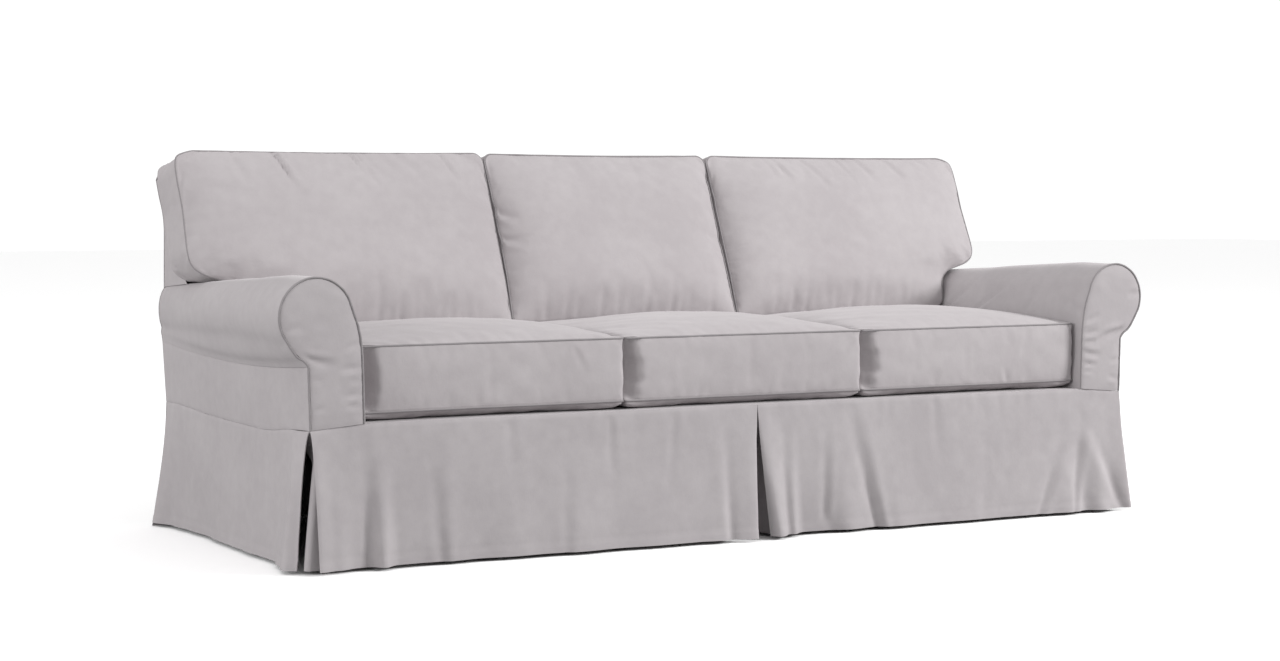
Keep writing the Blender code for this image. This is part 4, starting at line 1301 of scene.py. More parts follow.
@dataclass
class BodyPanels:
    """Deck, inside back, back top, back sides and outside back."""

    deck_grid: tuple[int, int] = (90, 30)
    inside_columns: int = 120
    inside_pitch: float = 0.012
    top_rows: int = 26
    rear_pitch: float = 0.009
    rear_columns_pitch: float = 0.017
    arms_end: float = 0.70
    side_bulge: float = 0.0012

    def deck(self) -> ClothPanel:
        """Flat panel under the seat cushions.

        Returns:
            The panel.
        """
        rear = float(inside_back_y(DECK_TOP - CLOTH)) - GAP
        half = ARM_INNER - GAP
        x, y = np.meshgrid(np.linspace(-half, half, self.deck_grid[0]),
                           np.linspace(INNER_FRONT, rear, self.deck_grid[1]))
        return ClothPanel("seat_deck", "deck", np.stack([x, y, np.full_like(x, DECK_TOP)], -1),
                          (0, 0, 1), Held.LAID, Chart.TOP, uneven=0.0003, seed=81)

    def inside_back(self) -> ClothPanel:
        """Raked panel, narrow between the arms and wide above them.

        Returns:
            The panel.
        """
        arm = arm_profile(float(inside_back_y(ROLL_Z)))
        arm = arm[arm[:, 0] < ROLL_X + GAP]
        wide = BACK_HALF - CLOTH - GAP
        top = TOP_PROFILE[0, 1] - RIDGE_GAP - CLOTH
        levels = [(ARM_INNER - GAP, DECK_TOP - CLOTH)]
        levels += [(x - ARM_CLEAR, z + ARM_CLEAR) for x, z in arm[1:]]
        levels += [(wide, arm[-1, 1] + 3.0 * ARM_CLEAR), (wide, self.arms_end), (wide, top)]
        table = np.array(levels)
        z = filled_in(table[:, 1], self.inside_pitch)
        half = np.interp(z, table[:, 1], table[:, 0])
        u = np.linspace(-1.0, 1.0, self.inside_columns)
        points = in_rows(half[:, None] * u, inside_back_y(z), z)
        return ClothPanel("raked_back", "inside_back", points, (0, -1, 0), uneven=0.0003, seed=83)

    def back_top(self) -> ClothPanel:
        """Narrow panel over the top of the back, turned down at its rear edge.

        Returns:
            The panel.
        """
        rows = np.linspace(0.0, 1.0, self.top_rows)
        y, z = curve(arc_places(TOP_PROFILE), TOP_PROFILE, rows).T
        points = in_rows(graded(-BACK_HALF, BACK_HALF, (0.0, 0.002, 0.006), 0.012), y, z)
        return ClothPanel("top_of_back", "back_top", points, (0, 0, 1), chart=Chart.TOP,
                          uneven=0.0008, uneven_pitch=(0.05, 0.03), seed=85, turn_in=("high",),
                          turn_depth=0.0008)

    def back_side(self, side: Side) -> ClothPanel:
        """Narrow panel at one end of the back, above the arm.

        Args:
            side: The end's side.

        Returns:
            The panel.
        """
        u, t = np.meshgrid(graded(0.0, 1.0, (0.0, 0.02, 0.05), 0.06),
                           graded(0.0, 1.0, (0.0, 0.01, 0.025), 0.02))
        middle_y = inside_back_y(ROLL_Z)

        def foot(y: Array) -> Array:
            """The panel's lower edge, over the arm."""
            return arm_top(np.array(BACK_HALF - CLOTH), y) + SIDE_CLEAR

        front_foot = float(foot(middle_y))
        front_top = TOP_PROFILE[0, 1] - RIDGE_GAP - CLOTH
        rear_foot, rear_top = float(foot(np.array(TAPER_END))), TOP_PROFILE[-1, 1] - RIDGE_GAP
        z_near = front_foot + (front_top - front_foot) * t
        z_far = rear_foot + (rear_top - rear_foot) * t
        near, far = inside_back_y(z_near), before_rear(z_far)
        y = near + (far - near) * u
        z = z_near + (z_far - z_near) * u
        low = foot(y)
        z = z + (low - z) * (1.0 - t) ** 4
        ridge = curve(TOP_PROFILE[:, 0], TOP_PROFILE[:, 1], y) - CLOTH - RIDGE_GAP
        z = np.minimum(z, ridge)
        bulge = self.side_bulge * np.sin(math.pi * u) * np.sin(math.pi * t)
        x = side.value * (BACK_HALF + bulge)
        return ClothPanel("end_of_back_" + side.word, "back_side_" + side.word,
                          np.stack([x, y, z], -1), (side.value, 0, 0), chart=Chart.SIDE,
                          uneven=0.0006, uneven_pitch=(0.04, 0.05), seed=87,
                          turn_in=("start", "end"), turn_depth=0.0008, turn_width=0.003)

    def outside_back(self) -> ClothPanel:
        """One panel over the whole rear.

        Returns:
            The panel.
        """
        roll = arm_profile(TAPER_END)[::-1]
        roll = roll[roll[:, 0] > BACK_HALF + GAP]
        base = REAR_PROFILE[0, 1]
        levels = [(HALF_WIDTH, base + GAP), (HALF_WIDTH + UNDER_ROLL_OUT / 2.0,
                                             (base + roll[0, 1]) / 2.0)]
        levels += [tuple(row) for row in roll]
        levels += [(BACK_HALF, float(arm_top(np.array(BACK_HALF), np.array(TAPER_END)))),
                   (BACK_HALF, self.arms_end), (BACK_HALF, TOP_PROFILE[-1, 1] - RIDGE_GAP)]
        table = np.array(levels)
        z = filled_in(table[:, 1], self.rear_pitch)
        half = np.interp(z, table[:, 1], table[:, 0])
        u = graded(-1.0, 1.0, (0.0, 0.002, 0.006), self.rear_columns_pitch)
        points = in_rows(half[:, None] * u, rear_y(z), z)
        return ClothPanel("rear_of_back", "outside_back", points, (0, 1, 0), creases=REAR_CREASES,
                          uneven=0.0012, uneven_pitch=(0.14, 0.10), seed=89,
                          turn_in=("low", "high"))

    def panels(self) -> list[ClothPanel]:
        """All panels of the body."""
        return [self.deck(), self.inside_back(), self.back_top(), self.back_side(Side.LEFT),
                self.back_side(Side.RIGHT), self.outside_back()]


# ------------------------------------------------------------------ cushions
EDGE = (0.0, 0.003, 0.006, 0.0095, 0.014, 0.020)
BOXING_EDGE = (0.0, 0.005, 0.010, 0.018)
SETTLE_FRAMES = 20
SWELL_SEAT = 0.004
SWELL_BACK = 0.005
ON_FACE = 0.001
SEAM_INSET = 0.0024
SEAM_STEP = 0.0022
SEAM_SINK = 0.0006


def rounded(a: Array, b: Array, radii: tuple[float, float], low: tuple[float, float],
            high: tuple[float, float]) -> tuple[Array, Array]:
    """Rounds the corners of a rectangular lattice by rings of equal inset.

    Args:
        a: First coordinate of each point.
        b: Second coordinate.
        radii: Radius of the lower and of the upper corners.
        low: Lower left corner.
        high: Upper right corner.

    Returns:
        The moved coordinates.
    """
    radius = np.where(b - low[1] <= high[1] - b, *radii)
    da = np.minimum(a - low[0], high[0] - a)
    db = np.minimum(b - low[1], high[1] - b)
    inside = (da < radius) & (db < radius)
    ring = np.minimum(da, db)
    reach = np.maximum(radius - ring, TINY)
    angle = np.where(da <= db, math.pi / 4 * (radius - db) / reach,
                     math.pi / 2 - math.pi / 4 * (radius - da) / reach)
    new_a = np.where(inside, radius - reach * np.cos(angle), da)
    new_b = np.where(inside, radius - reach * np.sin(angle), db)
    left, under = a - low[0] <= high[0] - a, b - low[1] <= high[1] - b
    return (np.where(left, low[0] + new_a, high[0] - new_a),
            np.where(under, low[1] + new_b, high[1] - new_b))


def share_of_crown(a: Array, peak: float, power: float) -> Array:
    """Rise of a filled face along one axis: 0 at its edges, 1 at its peak."""
    side = np.where(a < peak, (peak - a) / (1.0 + peak), (a - peak) / (1.0 - peak))
    return np.clip(1.0 - np.clip(side, 0.0, 1.0) ** power, 0.0, 1.0)


def boxing_stations(thick: float, pitch: float, bulge: float) -> tuple[Array, Array]:
    """Stations through a cushion and the outline's inset at each.

    Args:
        thick: Distance between the two faces.
        pitch: Distance between the stations, about.
        bulge: How far the boxing swells halfway.

    Returns:
        The depths and the insets.
    """
    deep = graded(0.0, thick, BOXING_EDGE, pitch)
    insets = np.where((deep < ON_FACE) | (deep > thick - ON_FACE), SEAM_INSET, 0.0)
    return deep, insets - bulge * np.sin(math.pi * deep / thick)


def seam_step(depth: Array, face: Array, thick: float) -> Array:
    """Step by which the outline lies behind each of the two faces.

    Args:
        depth: Depth of each lattice point.
        face: Whether it lies inside the outline.
        thick: Distance between the faces.

    Returns:
        What to add to each depth.
    """
    step = np.where(~face & (depth < ON_FACE), SEAM_STEP, 0.0)
    return np.where(~face & (depth > thick - ON_FACE), -SEAM_STEP, step)


@dataclass
class FilledCushion:
    """A boxed cushion: two faces joined by boxing, on a lattice of cloth.

    across, up and deep are the lattice's stations.  flat gives the outline's
    plane coordinates, place moves plane points and depths into the floor frame.
    """

    name: str
    node: str
    pipings: Sequence[tuple[str, str, float]]
    across: Array
    up: Array
    deep: Array
    insets: Array
    flat: Callable[[Array, Array], tuple[Array, Array]]
    place: Callable[[Array, Array, Array, Array, Array], Array]
    chart: Chart
    creases: Sequence[Crease]
    boxing_creases: Sequence[Crease]
    boxing_chart: Chart
    sunk: Callable[[Array], Array] | None
    swell: float
    fill: float
    seed: int
    grow: float = -0.012
    uneven: float = 0.0012
    uneven_pitch: tuple[float, float] = (0.045, 0.035)
    quality: int = 4
    mass: float = 0.3
    stiffness: float = 12.0
    shear: float = 5.0
    bending: float = 0.15
    pressure: float = 4.0
    seam_calm: tuple[float, float] = (0.001, 0.012)

    @property
    def ring(self) -> Array:
        """Lattice numbers of the outline's points, once round.

        Returns:
            One row of two station numbers for each point.
        """
        columns, rows = len(self.across) - 1, len(self.up) - 1
        return np.array([(i, 0) for i in range(columns)] + [(columns, j) for j in range(rows)]
                        + [(i, rows) for i in range(columns, 0, -1)]
                        + [(0, j) for j in range(rows, 0, -1)])

    def on_rim(self, i: Array, j: Array) -> Array:
        """Whether each lattice point lies on the outline."""
        return (i == 0) | (i == len(self.across) - 1) | (j == 0) | (j == len(self.up) - 1)

    def lattice(self) -> tuple[bpy.types.Object, Array]:
        """A cube cut into the lattice's cells.

        Returns:
            The object and the three station numbers of each vertex.
        """
        counts = (len(self.across) - 1, len(self.up) - 1, len(self.deep) - 1)
        bpy.ops.object.select_all(action="DESELECT")
        bpy.ops.mesh.primitive_cube_add(size=2.0)
        piece = bpy.context.active_object
        piece.name = piece.data.name = self.name
        bm = bmesh.new()
        bm.from_mesh(piece.data)
        for axis, count in enumerate(counts):
            whole = [edge for edge in bm.edges
                     if abs(edge.verts[0].co[axis] - edge.verts[1].co[axis]) > 1.99]
            bmesh.ops.subdivide_edges(bm, edges=whole, cuts=count - 1, use_grid_fill=True)
        bm.to_mesh(piece.data)
        bm.free()
        steps = (vertex_places(piece.data) + 1.0) / 2.0 * np.array(counts)
        return piece, np.rint(steps).astype(int)

    def rim_normals(self, p: Array, q: Array) -> tuple[Array, Array]:
        """Inward normals of the outline, zero inside it.

        Args:
            p: First plane coordinate of each station.
            q: Second plane coordinate.

        Returns:
            Both parts of each normal.
        """
        i, j = self.ring.T
        line = np.stack([p[i, j], q[i, j]], -1)
        run = np.roll(line, -1, axis=0) - np.roll(line, 1, axis=0)
        run /= np.linalg.norm(run, axis=1, keepdims=True)
        in_p, in_q = np.zeros_like(p), np.zeros_like(q)
        in_p[i, j], in_q[i, j] = -run[:, 1], run[:, 0]
        return in_p, in_q

    def at_stations(self, i: Array, j: Array, depth: Array, inset: Array | float,
                    face: Array) -> Array:
        """Lattice points in the floor frame, the outline's moved inwards.

        Args:
            i: Station across of each point.
            j: Station up of each point.
            depth: Its depth.
            inset: How far it moves in, if it is on the outline.
            face: Whether it gets the face's crown.

        Returns:
            One row of three coordinates for each point.
        """
        a, b = np.meshgrid(self.across, self.up, indexing="ij")
        p, q = self.flat(a, b)
        in_p, in_q = self.rim_normals(p, q)
        return self.place(p[i, j] + in_p[i, j] * inset, q[i, j] + in_q[i, j] * inset, depth,
                          face, np.stack([a[i, j], b[i, j]], -1))

    def start(self, steps: Array) -> Array:
        """The cushion's form before it settles, in the floor frame.

        Args:
            steps: The lattice numbers of the vertices.

        Returns:
            One row of three coordinates for each vertex.
        """
        i, j, k = steps.T
        rim = self.on_rim(i, j)
        return self.at_stations(i, j, self.deep[k], np.where(rim, self.insets[k], 0.0), ~rim)

    def settle(self, piece: bpy.types.Object, steps: Array) -> None:
        """Lets the filling press the cloth out, held along the seams.

        Args:
            piece: The cushion in its starting form.
            steps: The lattice numbers of its vertices.
        """
        i, j, k = steps.T
        last = len(self.deep) - 1
        held = self.on_rim(i, j) & ((k <= 1) | (k >= last - 1))
        group = piece.vertex_groups.new(name="seams")
        group.add([int(n) for n in np.nonzero(held)[0]], 1.0, "REPLACE")
        before = vertex_places(piece.data)
        cloth = piece.modifiers.new("filling", "CLOTH")
        settings = cloth.settings
        settings.quality = self.quality
        settings.mass = self.mass
        settings.tension_stiffness = settings.compression_stiffness = self.stiffness
        settings.shear_stiffness = self.shear
        settings.bending_stiffness = self.bending
        settings.use_pressure = True
        settings.uniform_pressure_force = self.pressure
        settings.shrink_min = settings.shrink_max = self.grow
        settings.vertex_group_mass = "seams"
        settings.effector_weights.gravity = 0.0
        cloth.collision_settings.use_collision = False
        cloth.collision_settings.use_self_collision = False
        cloth.point_cache.frame_start, cloth.point_cache.frame_end = 1, SETTLE_FRAMES
        scene = bpy.context.scene
        for frame in range(1, SETTLE_FRAMES + 1):
            scene.frame_set(frame)
        apply_modifier(piece, cloth)
        scene.frame_set(1)
        move = vertex_places(piece.data) - before
        reach = np.linalg.norm(move, axis=1, keepdims=True)
        cap = self.swell
        held_back = cap * np.tanh(reach / cap) / np.maximum(reach, TINY)
        move *= np.where(reach > TINY, held_back, 1.0)
        place_vertices(piece.data, before + move)
        piece.vertex_groups.clear()

    def sculpt(self, piece: bpy.types.Object) -> None:
        """Adds pull creases, gathers and unevenness along the normals.

        Args:
            piece: The settled cushion.
        """
        mesh = piece.data
        at = vertex_places(mesh).astype(float) + HOLD_POINT
        normals = np.array([normal.vector[:] for normal in mesh.vertex_normals])
        facing = normals[:, self.chart_normal(self.chart)]
        boxing = normals[:, self.chart_normal(self.boxing_chart)]
        a, b = at[:, self.chart.value[0]], at[:, self.chart.value[1]]
        on_face = smooth(0.35, 0.8, facing * self.face_sign)
        rise = crease_rise(a, b, self.creases) * on_face
        c, d = at[:, self.boxing_chart.value[0]], at[:, self.boxing_chart.value[1]]
        on_boxing = smooth(0.35, 0.8, -boxing if self.boxing_chart is Chart.FRONT else boxing)
        rise += crease_rise(c, d, self.boxing_creases) * on_boxing
        rise += self.uneven * cloth_noise(at[:, 0] + at[:, 1] * 0.6, at[:, 2] + at[:, 1] * 0.8,
                                          self.uneven_pitch, self.seed)
        rise *= self.away_from_seams(at)
        at = at + normals * rise[:, None]
        if self.sunk is not None:
            at = at + self.sunk(at)
        place_vertices(mesh, at - HOLD_POINT)

    @property
    def face_sign(self) -> float:
        """Direction of the main face along its chart's normal."""
        return 1.0 if self.chart is Chart.TOP else -1.0

    @staticmethod
    def chart_normal(chart: Chart) -> int:
        """The axis that a chart leaves out."""
        return ({0, 1, 2} - set(chart.value)).pop()

    def away_from_seams(self, at: Array) -> Array:
        """0 on the piped seams, 1 more than a centimetre off them.

        Args:
            at: Points in the floor frame.

        Returns:
            The share at each point.
        """
        lines = np.concatenate([self.seam_path(depth)[::2] for _, _, depth in self.pipings])
        gap = np.full(len(at), 1.0)
        for first in range(0, len(lines), 40):
            part = lines[first:first + 40]
            gap = np.minimum(gap, np.min(np.linalg.norm(at[:, None] - part[None], axis=2), axis=1))
        return smooth(*self.seam_calm, gap)

    def seam_path(self, depth: float) -> Array:
        """Line of the piping's centre round the outline."""
        i, j = self.ring.T
        return self.at_stations(i, j, np.full(len(i), depth), SEAM_SINK, np.zeros(len(i), bool))

    def cloth_map(self, piece: bpy.types.Object, steps: Array) -> None:
        """Lays the weave flat on the faces and round the boxing.

        Args:
            piece: The cushion before it is made finer.
            steps: The lattice numbers of its vertices.
        """
        i, j, k = steps.T
        last = len(self.deep) - 1
        ring = {tuple(spot): n for n, spot in enumerate(self.ring.tolist())}
        path = self.seam_path(self.deep[last // 2])
        run = run_along(path)
        whole = run[-1] + float(np.linalg.norm(path[0] - path[-1]))
        mesh = piece.data
        uv = np.zeros((len(mesh.loops), 2), np.float32)
        around = np.array([run[ring[(int(x), int(y))]] if (int(x), int(y)) in ring else -1.0
                           for x, y in zip(i, j)])
        for polygon in mesh.polygons:
            verts = list(polygon.vertices)
            if all(k[v] == 0 for v in verts) or all(k[v] == last for v in verts):
                spots = [(self.across[i[v]], self.up[j[v]]) for v in verts]
            else:
                spots = [(around[v], self.deep[k[v]]) for v in verts]
                if max(s[0] for s in spots) - min(s[0] for s in spots) > whole / 2.0:
                    spots = [(s + whole if s < whole / 2.0 else s, d) for s, d in spots]
            for loop, spot in zip(polygon.loop_indices, spots):
                uv[loop] = spot
        write_cloth_map(mesh, uv)

    def build(self) -> list[bpy.types.Object]:
        """Makes the cushion and its piping.

        Returns:
            The cushion first and then its pipings.
        """
        piece, steps = self.lattice()
        place_vertices(piece.data, self.start(steps) - HOLD_POINT)
        piece.data.update()
        edit_whole(piece, lambda: bpy.ops.mesh.normals_make_consistent(inside=False))
        self.cloth_map(piece, steps)
        self.settle(piece, steps)
        finer = piece.modifiers.new("finer", "SUBSURF")
        finer.levels = finer.render_levels = 1
        apply_modifier(piece, finer)
        self.sculpt(piece)
        finish_piece(piece, CUSHION_CLOTH, self.node)
        made = [piece]
        for name, node, depth in self.pipings:
            made.append(Piping(name, node, self.seam_path(depth), True, seed=self.seed + 7).build())
        return made


SEAT_TOP_CREASES = {
    -1: pulled((-0.34, -0.385, -0.40, -0.30, 0.012, 0.0020)),
    0: pulled((0.285, -0.385, 0.22, -0.30, 0.012, 0.0022)),
    1: pulled((0.90, -0.385, 0.84, -0.30, 0.012, 0.0022))}
SEAT_FRONT_CREASES = {
    -1: pulled(
        (-0.43, 0.440, -0.405, 0.385, 0.008, 0.0020, 1),
        (-0.52, 0.345, -0.50, 0.400, 0.010, 0.0014), (-0.66, 0.335, -0.66, 0.380, 0.008, 0.0010),
        (-0.33, 0.455, -0.36, 0.420, 0.007, 0.0012)),
    0: pulled(
        (0.285, 0.455, 0.255, 0.420, 0.007, 0.0024, 1),
        (0.06, 0.335, 0.07, 0.385, 0.008, 0.0016), (0.16, 0.340, 0.17, 0.375, 0.008, 0.0012),
        (-0.12, 0.335, -0.11, 0.370, 0.009, 0.0012)),
    1: pulled(
        (0.73, 0.335, 0.72, 0.375, 0.008, 0.0022, 1),
        (0.76, 0.425, 0.74, 0.385, 0.008, 0.0016), (0.52, 0.335, 0.525, 0.375, 0.008, 0.0014),
        (0.89, 0.455, 0.87, 0.425, 0.007, 0.0012))}


@dataclass
class SeatCushion:
    """Boxed seat cushion, crowned above, pressed flat under the back cushions."""

    slot: int
    crown: float
    peak: float
    front: float = -0.398
    rear: float = 0.181
    top: float = 0.4675
    bottom: float = 0.3265
    side_room: float = 0.0021
    arm_room: float = 0.0028
    pitch: float = 0.0119
    corner: float = 0.006
    draw: float = 0.004
    under: float = 0.0150
    pressed: float = 0.0168
    fullness: tuple[float, float] = (2.6, 2.6)
    sunk_width: float = 0.020
    sunk_depth: float = 0.036
    ragged: float = 0.22
    boxing_pitch: float = 0.0115
    bulge: float = 0.0016
    seam_soft: float = 0.008
    turned: float = 0.006

    @property
    def word(self) -> str:
        """The cushion's place in node names."""
        return PLACE_WORDS[self.slot]

    def reach(self) -> tuple[float, float]:
        """Both ends of the cushion across the sofa.

        Returns:
            The left and the right end.
        """
        low = (self.slot - 0.5) * PITCH + self.side_room
        high = (self.slot + 0.5) * PITCH - self.side_room
        if self.slot < 0:
            low = -ARM_INNER + self.arm_room
        if self.slot > 0:
            high = ARM_INNER - self.arm_room
        return low, high

    def rise(self, u: Array, v: Array, y: Array, crown: float, pressed: float) -> Array:
        """Height of the crown above its seams.

        Args:
            u: Place across, -1 to 1.
            v: Place along the depth, -1 to 1.
            y: Depth in the floor frame.
            crown: Height at the peak.
            pressed: Most that it has under the back cushions.

        Returns:
            The height at each point.
        """
        power = np.where(u < self.peak, *self.fullness)
        height = crown * share_of_crown(u, self.peak, power) * share_of_crown(v, -0.12, 2.6)
        flat = np.minimum(height, pressed)
        return height + (flat - height) * smooth(0.0, 0.11, y)

    def level(self, x: Array, y: float) -> Array:
        """Height of the top across the cushion at one depth, none outside it.

        Args:
            x: Places across.
            y: The depth.

        Returns:
            The height at each place.
        """
        low, high = self.reach()
        u = (2.0 * x - low - high) / (high - low)
        v = (2.0 * y - self.front - self.rear) / (self.rear - self.front)
        inside = np.abs(u) < 1.0
        rise = self.rise(np.clip(u, -1, 1), np.full_like(u, v), np.full_like(u, y), self.crown,
                         self.pressed)
        return np.where(inside, self.top + rise, 0.0)

    def form(self) -> FilledCushion:
        """The cushion's lattice, crown and creases.

        Returns:
            The cushion, ready to build.
        """
        low, high = self.reach()
        half = np.array([(high - low) / 2.0, (self.rear - self.front) / 2.0])
        middle = np.array([(high + low) / 2.0, (self.rear + self.front) / 2.0])
        thick = self.top - self.bottom
        deep, insets = boxing_stations(thick, self.boxing_pitch, self.bulge)

        def flat(a: Array, b: Array) -> tuple[Array, Array]:
            """Outline with rounded corners and drawn-in sides.

            Args:
                a: First lattice coordinate.
                b: Second lattice coordinate.

            Returns:
                The two plane coordinates.
            """
            p, q = rounded(a, b, (self.corner,) * 2, (low, self.front), (high, self.rear))
            u, v = (p - middle[0]) / half[0], (q - middle[1]) / half[1]
            return (p - self.draw * np.sign(u) * np.abs(u) ** 3 * np.clip(1 - v ** 2, 0, 1),
                    q - self.draw * np.sign(v) * np.abs(v) ** 3 * np.clip(1 - u ** 2, 0, 1))

        def place(p: Array, q: Array, deep_at: Array, face: Array, plane: Array) -> Array:
            """Plane point and height to the floor frame, with the crown.

            Args:
                p: Place across.
                q: Depth in the sofa.
                deep_at: Height above the lower face.
                face: Whether the point gets the crown.
                plane: Its place in the square lattice.

            Returns:
                One row of three coordinates for each point.
            """
            z = self.bottom + deep_at + seam_step(deep_at, face, thick)
            u = np.clip((plane[:, 0] - middle[0]) / half[0], -1, 1)
            v = np.clip((plane[:, 1] - middle[1]) / half[1], -1, 1)
            rise = self.rise(u, v, q, self.crown - SWELL_SEAT, self.pressed - SWELL_SEAT * 0.8)
            edge = np.minimum((1.0 - np.abs(u)) * half[0], (1.0 - np.abs(v)) * half[1])
            fall = (self.under - SWELL_SEAT) * (1.0 - np.exp(-edge / self.seam_soft))
            z = np.where(face & (deep_at > thick / 2), z + rise, z)
            z = np.where(face & (deep_at < thick / 2), z - fall, z)
            return np.stack([p, q, z], -1)

        def sunk(at: Array) -> Array:
            """The boxing turned in at its left front corner.

            Args:
                at: Points in the floor frame.

            Returns:
                The move of each point.
            """
            height = np.clip((at[:, 2] - self.bottom) / thick, 0.0, 1.0)
            amount = np.sin(math.pi * height) ** 0.55
            near_front = np.exp(-((at[:, 1] - self.front) / 0.016) ** 2)
            along = np.maximum(at[:, 0] - low, 0.0)
            ragged = 1.0 + self.ragged * cloth_noise(at[:, 2], at[:, 2] * 0.0, (0.018, 1.0), 211)
            width = self.sunk_width * ragged
            front = self.sunk_depth * amount * near_front * np.exp(-(along / width) ** 4)
            near_end = np.exp(-(along / 0.012) ** 2)
            depth = np.maximum(at[:, 1] - self.front, 0.0)
            end = self.turned * amount * near_end * np.exp(-(depth / 0.030) ** 1.6)
            return np.stack([end, front, np.zeros_like(front)], -1)

        return FilledCushion(
            "seat_cushion_" + self.word, "seat_" + self.word,
            (("seat_piping_top_" + self.word, "seat_welt_top_" + self.word,
              thick - SEAM_SINK),
             ("seat_piping_low_" + self.word, "seat_welt_bottom_" + self.word,
              SEAM_SINK)),
            graded(low, high, EDGE, self.pitch), graded(self.front, self.rear, EDGE, self.pitch),
            deep, insets, flat, place, Chart.TOP, SEAT_TOP_CREASES[self.slot],
            SEAT_FRONT_CREASES[self.slot], Chart.FRONT, sunk, swell=SWELL_SEAT, fill=0.8,
            seed=101 + self.slot)


SEATS = (SeatCushion(-1, 0.0340, -0.10, fullness=(1.9, 4.0), sunk_width=0.031,
                     ragged=0.08),
         SeatCushion(0, 0.0355, 0.05, fullness=(1.8, 2.6), sunk_width=0.032),
         SeatCushion(1, 0.0360, 0.12, sunk_width=0.034))


def seat_level(x: Array, y: float) -> Array:
    """Height of the seat cushions' tops across the sofa at one depth."""
    return np.maximum.reduce([seat.level(np.asarray(x, float), y) for seat in SEATS]
                             + [np.full(np.shape(x), 0.465)])


EAR = ((0.000, 0.926), (0.017, 0.940), (0.045, 0.949), (0.079, 0.959), (0.090, 0.969),
       (0.101, 0.986), (0.1085, 1.010), (0.117, 1.038), (0.130, 1.061), (0.146, 1.073),
       (0.168, 1.077), (0.215, 1.076), (0.277, 1.074), (0.346, 1.076), (0.390, 1.074),
       (0.407, 1.067), (0.417, 1.050))


def gathers(foot: float, depth: float, places: Sequence[tuple[float, float]]
            ) -> tuple[Crease, ...]:
    """Makes short upright creases along the lower edge of a back cushion.

    Args:
        foot: Height from which they rise.
        depth: Depth of the deepest.
        places: Place across and share of that depth of each one.

    Returns:
        The creases, in the front chart.
    """
    return tuple(Crease((x, foot), (x + 0.010 * (share - 0.5), foot + 0.05 + 0.07 * share),
                        0.007 + 0.004 * share, depth * share) for x, share in places)


BACK_CREASES = {
    -1: pulled(
        (-0.842, 0.872, -0.812, 0.785, 0.007, 0.0085, 1),
        (-0.655, 0.872, -0.632, 0.815, 0.006, 0.0066, 1),
        (-0.640, 0.872, -0.606, 0.785, 0.006, 0.0052, 1),
        (-0.425, 0.870, -0.395, 0.805, 0.006, 0.0048, 1),
        (-0.940, 0.855, -0.925, 0.795, 0.011, 0.0038)
        ) + gathers(0.490, 0.0026, ((-0.790, 0.6), (-0.765, 0.5), (-0.735, 0.8), (-0.715, 0.5),
            (-0.650, 0.5), (-0.600, 0.7), (-0.560, 0.4), (-0.470, 0.5), (-0.400, 0.4))),
    0: pulled(
        (-0.306, 0.735, -0.255, 0.715, 0.010, 0.0060, -1),
        (-0.306, 0.670, -0.250, 0.664, 0.009, 0.0045, -1),
        (0.306, 0.800, 0.275, 0.785, 0.008, 0.0026), (-0.05, 0.865, -0.03, 0.830, 0.010, 0.0016)
        ) + gathers(0.490, 0.0030, ((-0.225, 0.7), (-0.170, 0.9), (-0.140, 0.5), (-0.075, 0.6),
            (-0.030, 0.6), (0.000, 0.4), (0.050, 0.8), (0.120, 0.9), (0.145, 0.6), (0.235, 0.5))),
    1: pulled(
        (0.480, 0.872, 0.495, 0.810, 0.007, 0.0044, 1),
        (0.508, 0.872, 0.535, 0.805, 0.007, 0.0044, 1),
        (0.590, 0.872, 0.640, 0.790, 0.008, 0.0052, 1),
        (0.700, 0.872, 0.725, 0.800, 0.007, 0.0038, 1),
        (0.760, 0.872, 0.790, 0.805, 0.008, 0.0034, 1),
        (0.850, 0.872, 0.885, 0.810, 0.009, 0.0034, 1)
        ) + gathers(0.490, 0.0026, ((0.420, 0.6), (0.470, 0.7), (0.510, 0.8), (0.600, 0.5),
            (0.650, 0.7), (0.690, 0.8), (0.745, 0.5), (0.830, 0.5)))}


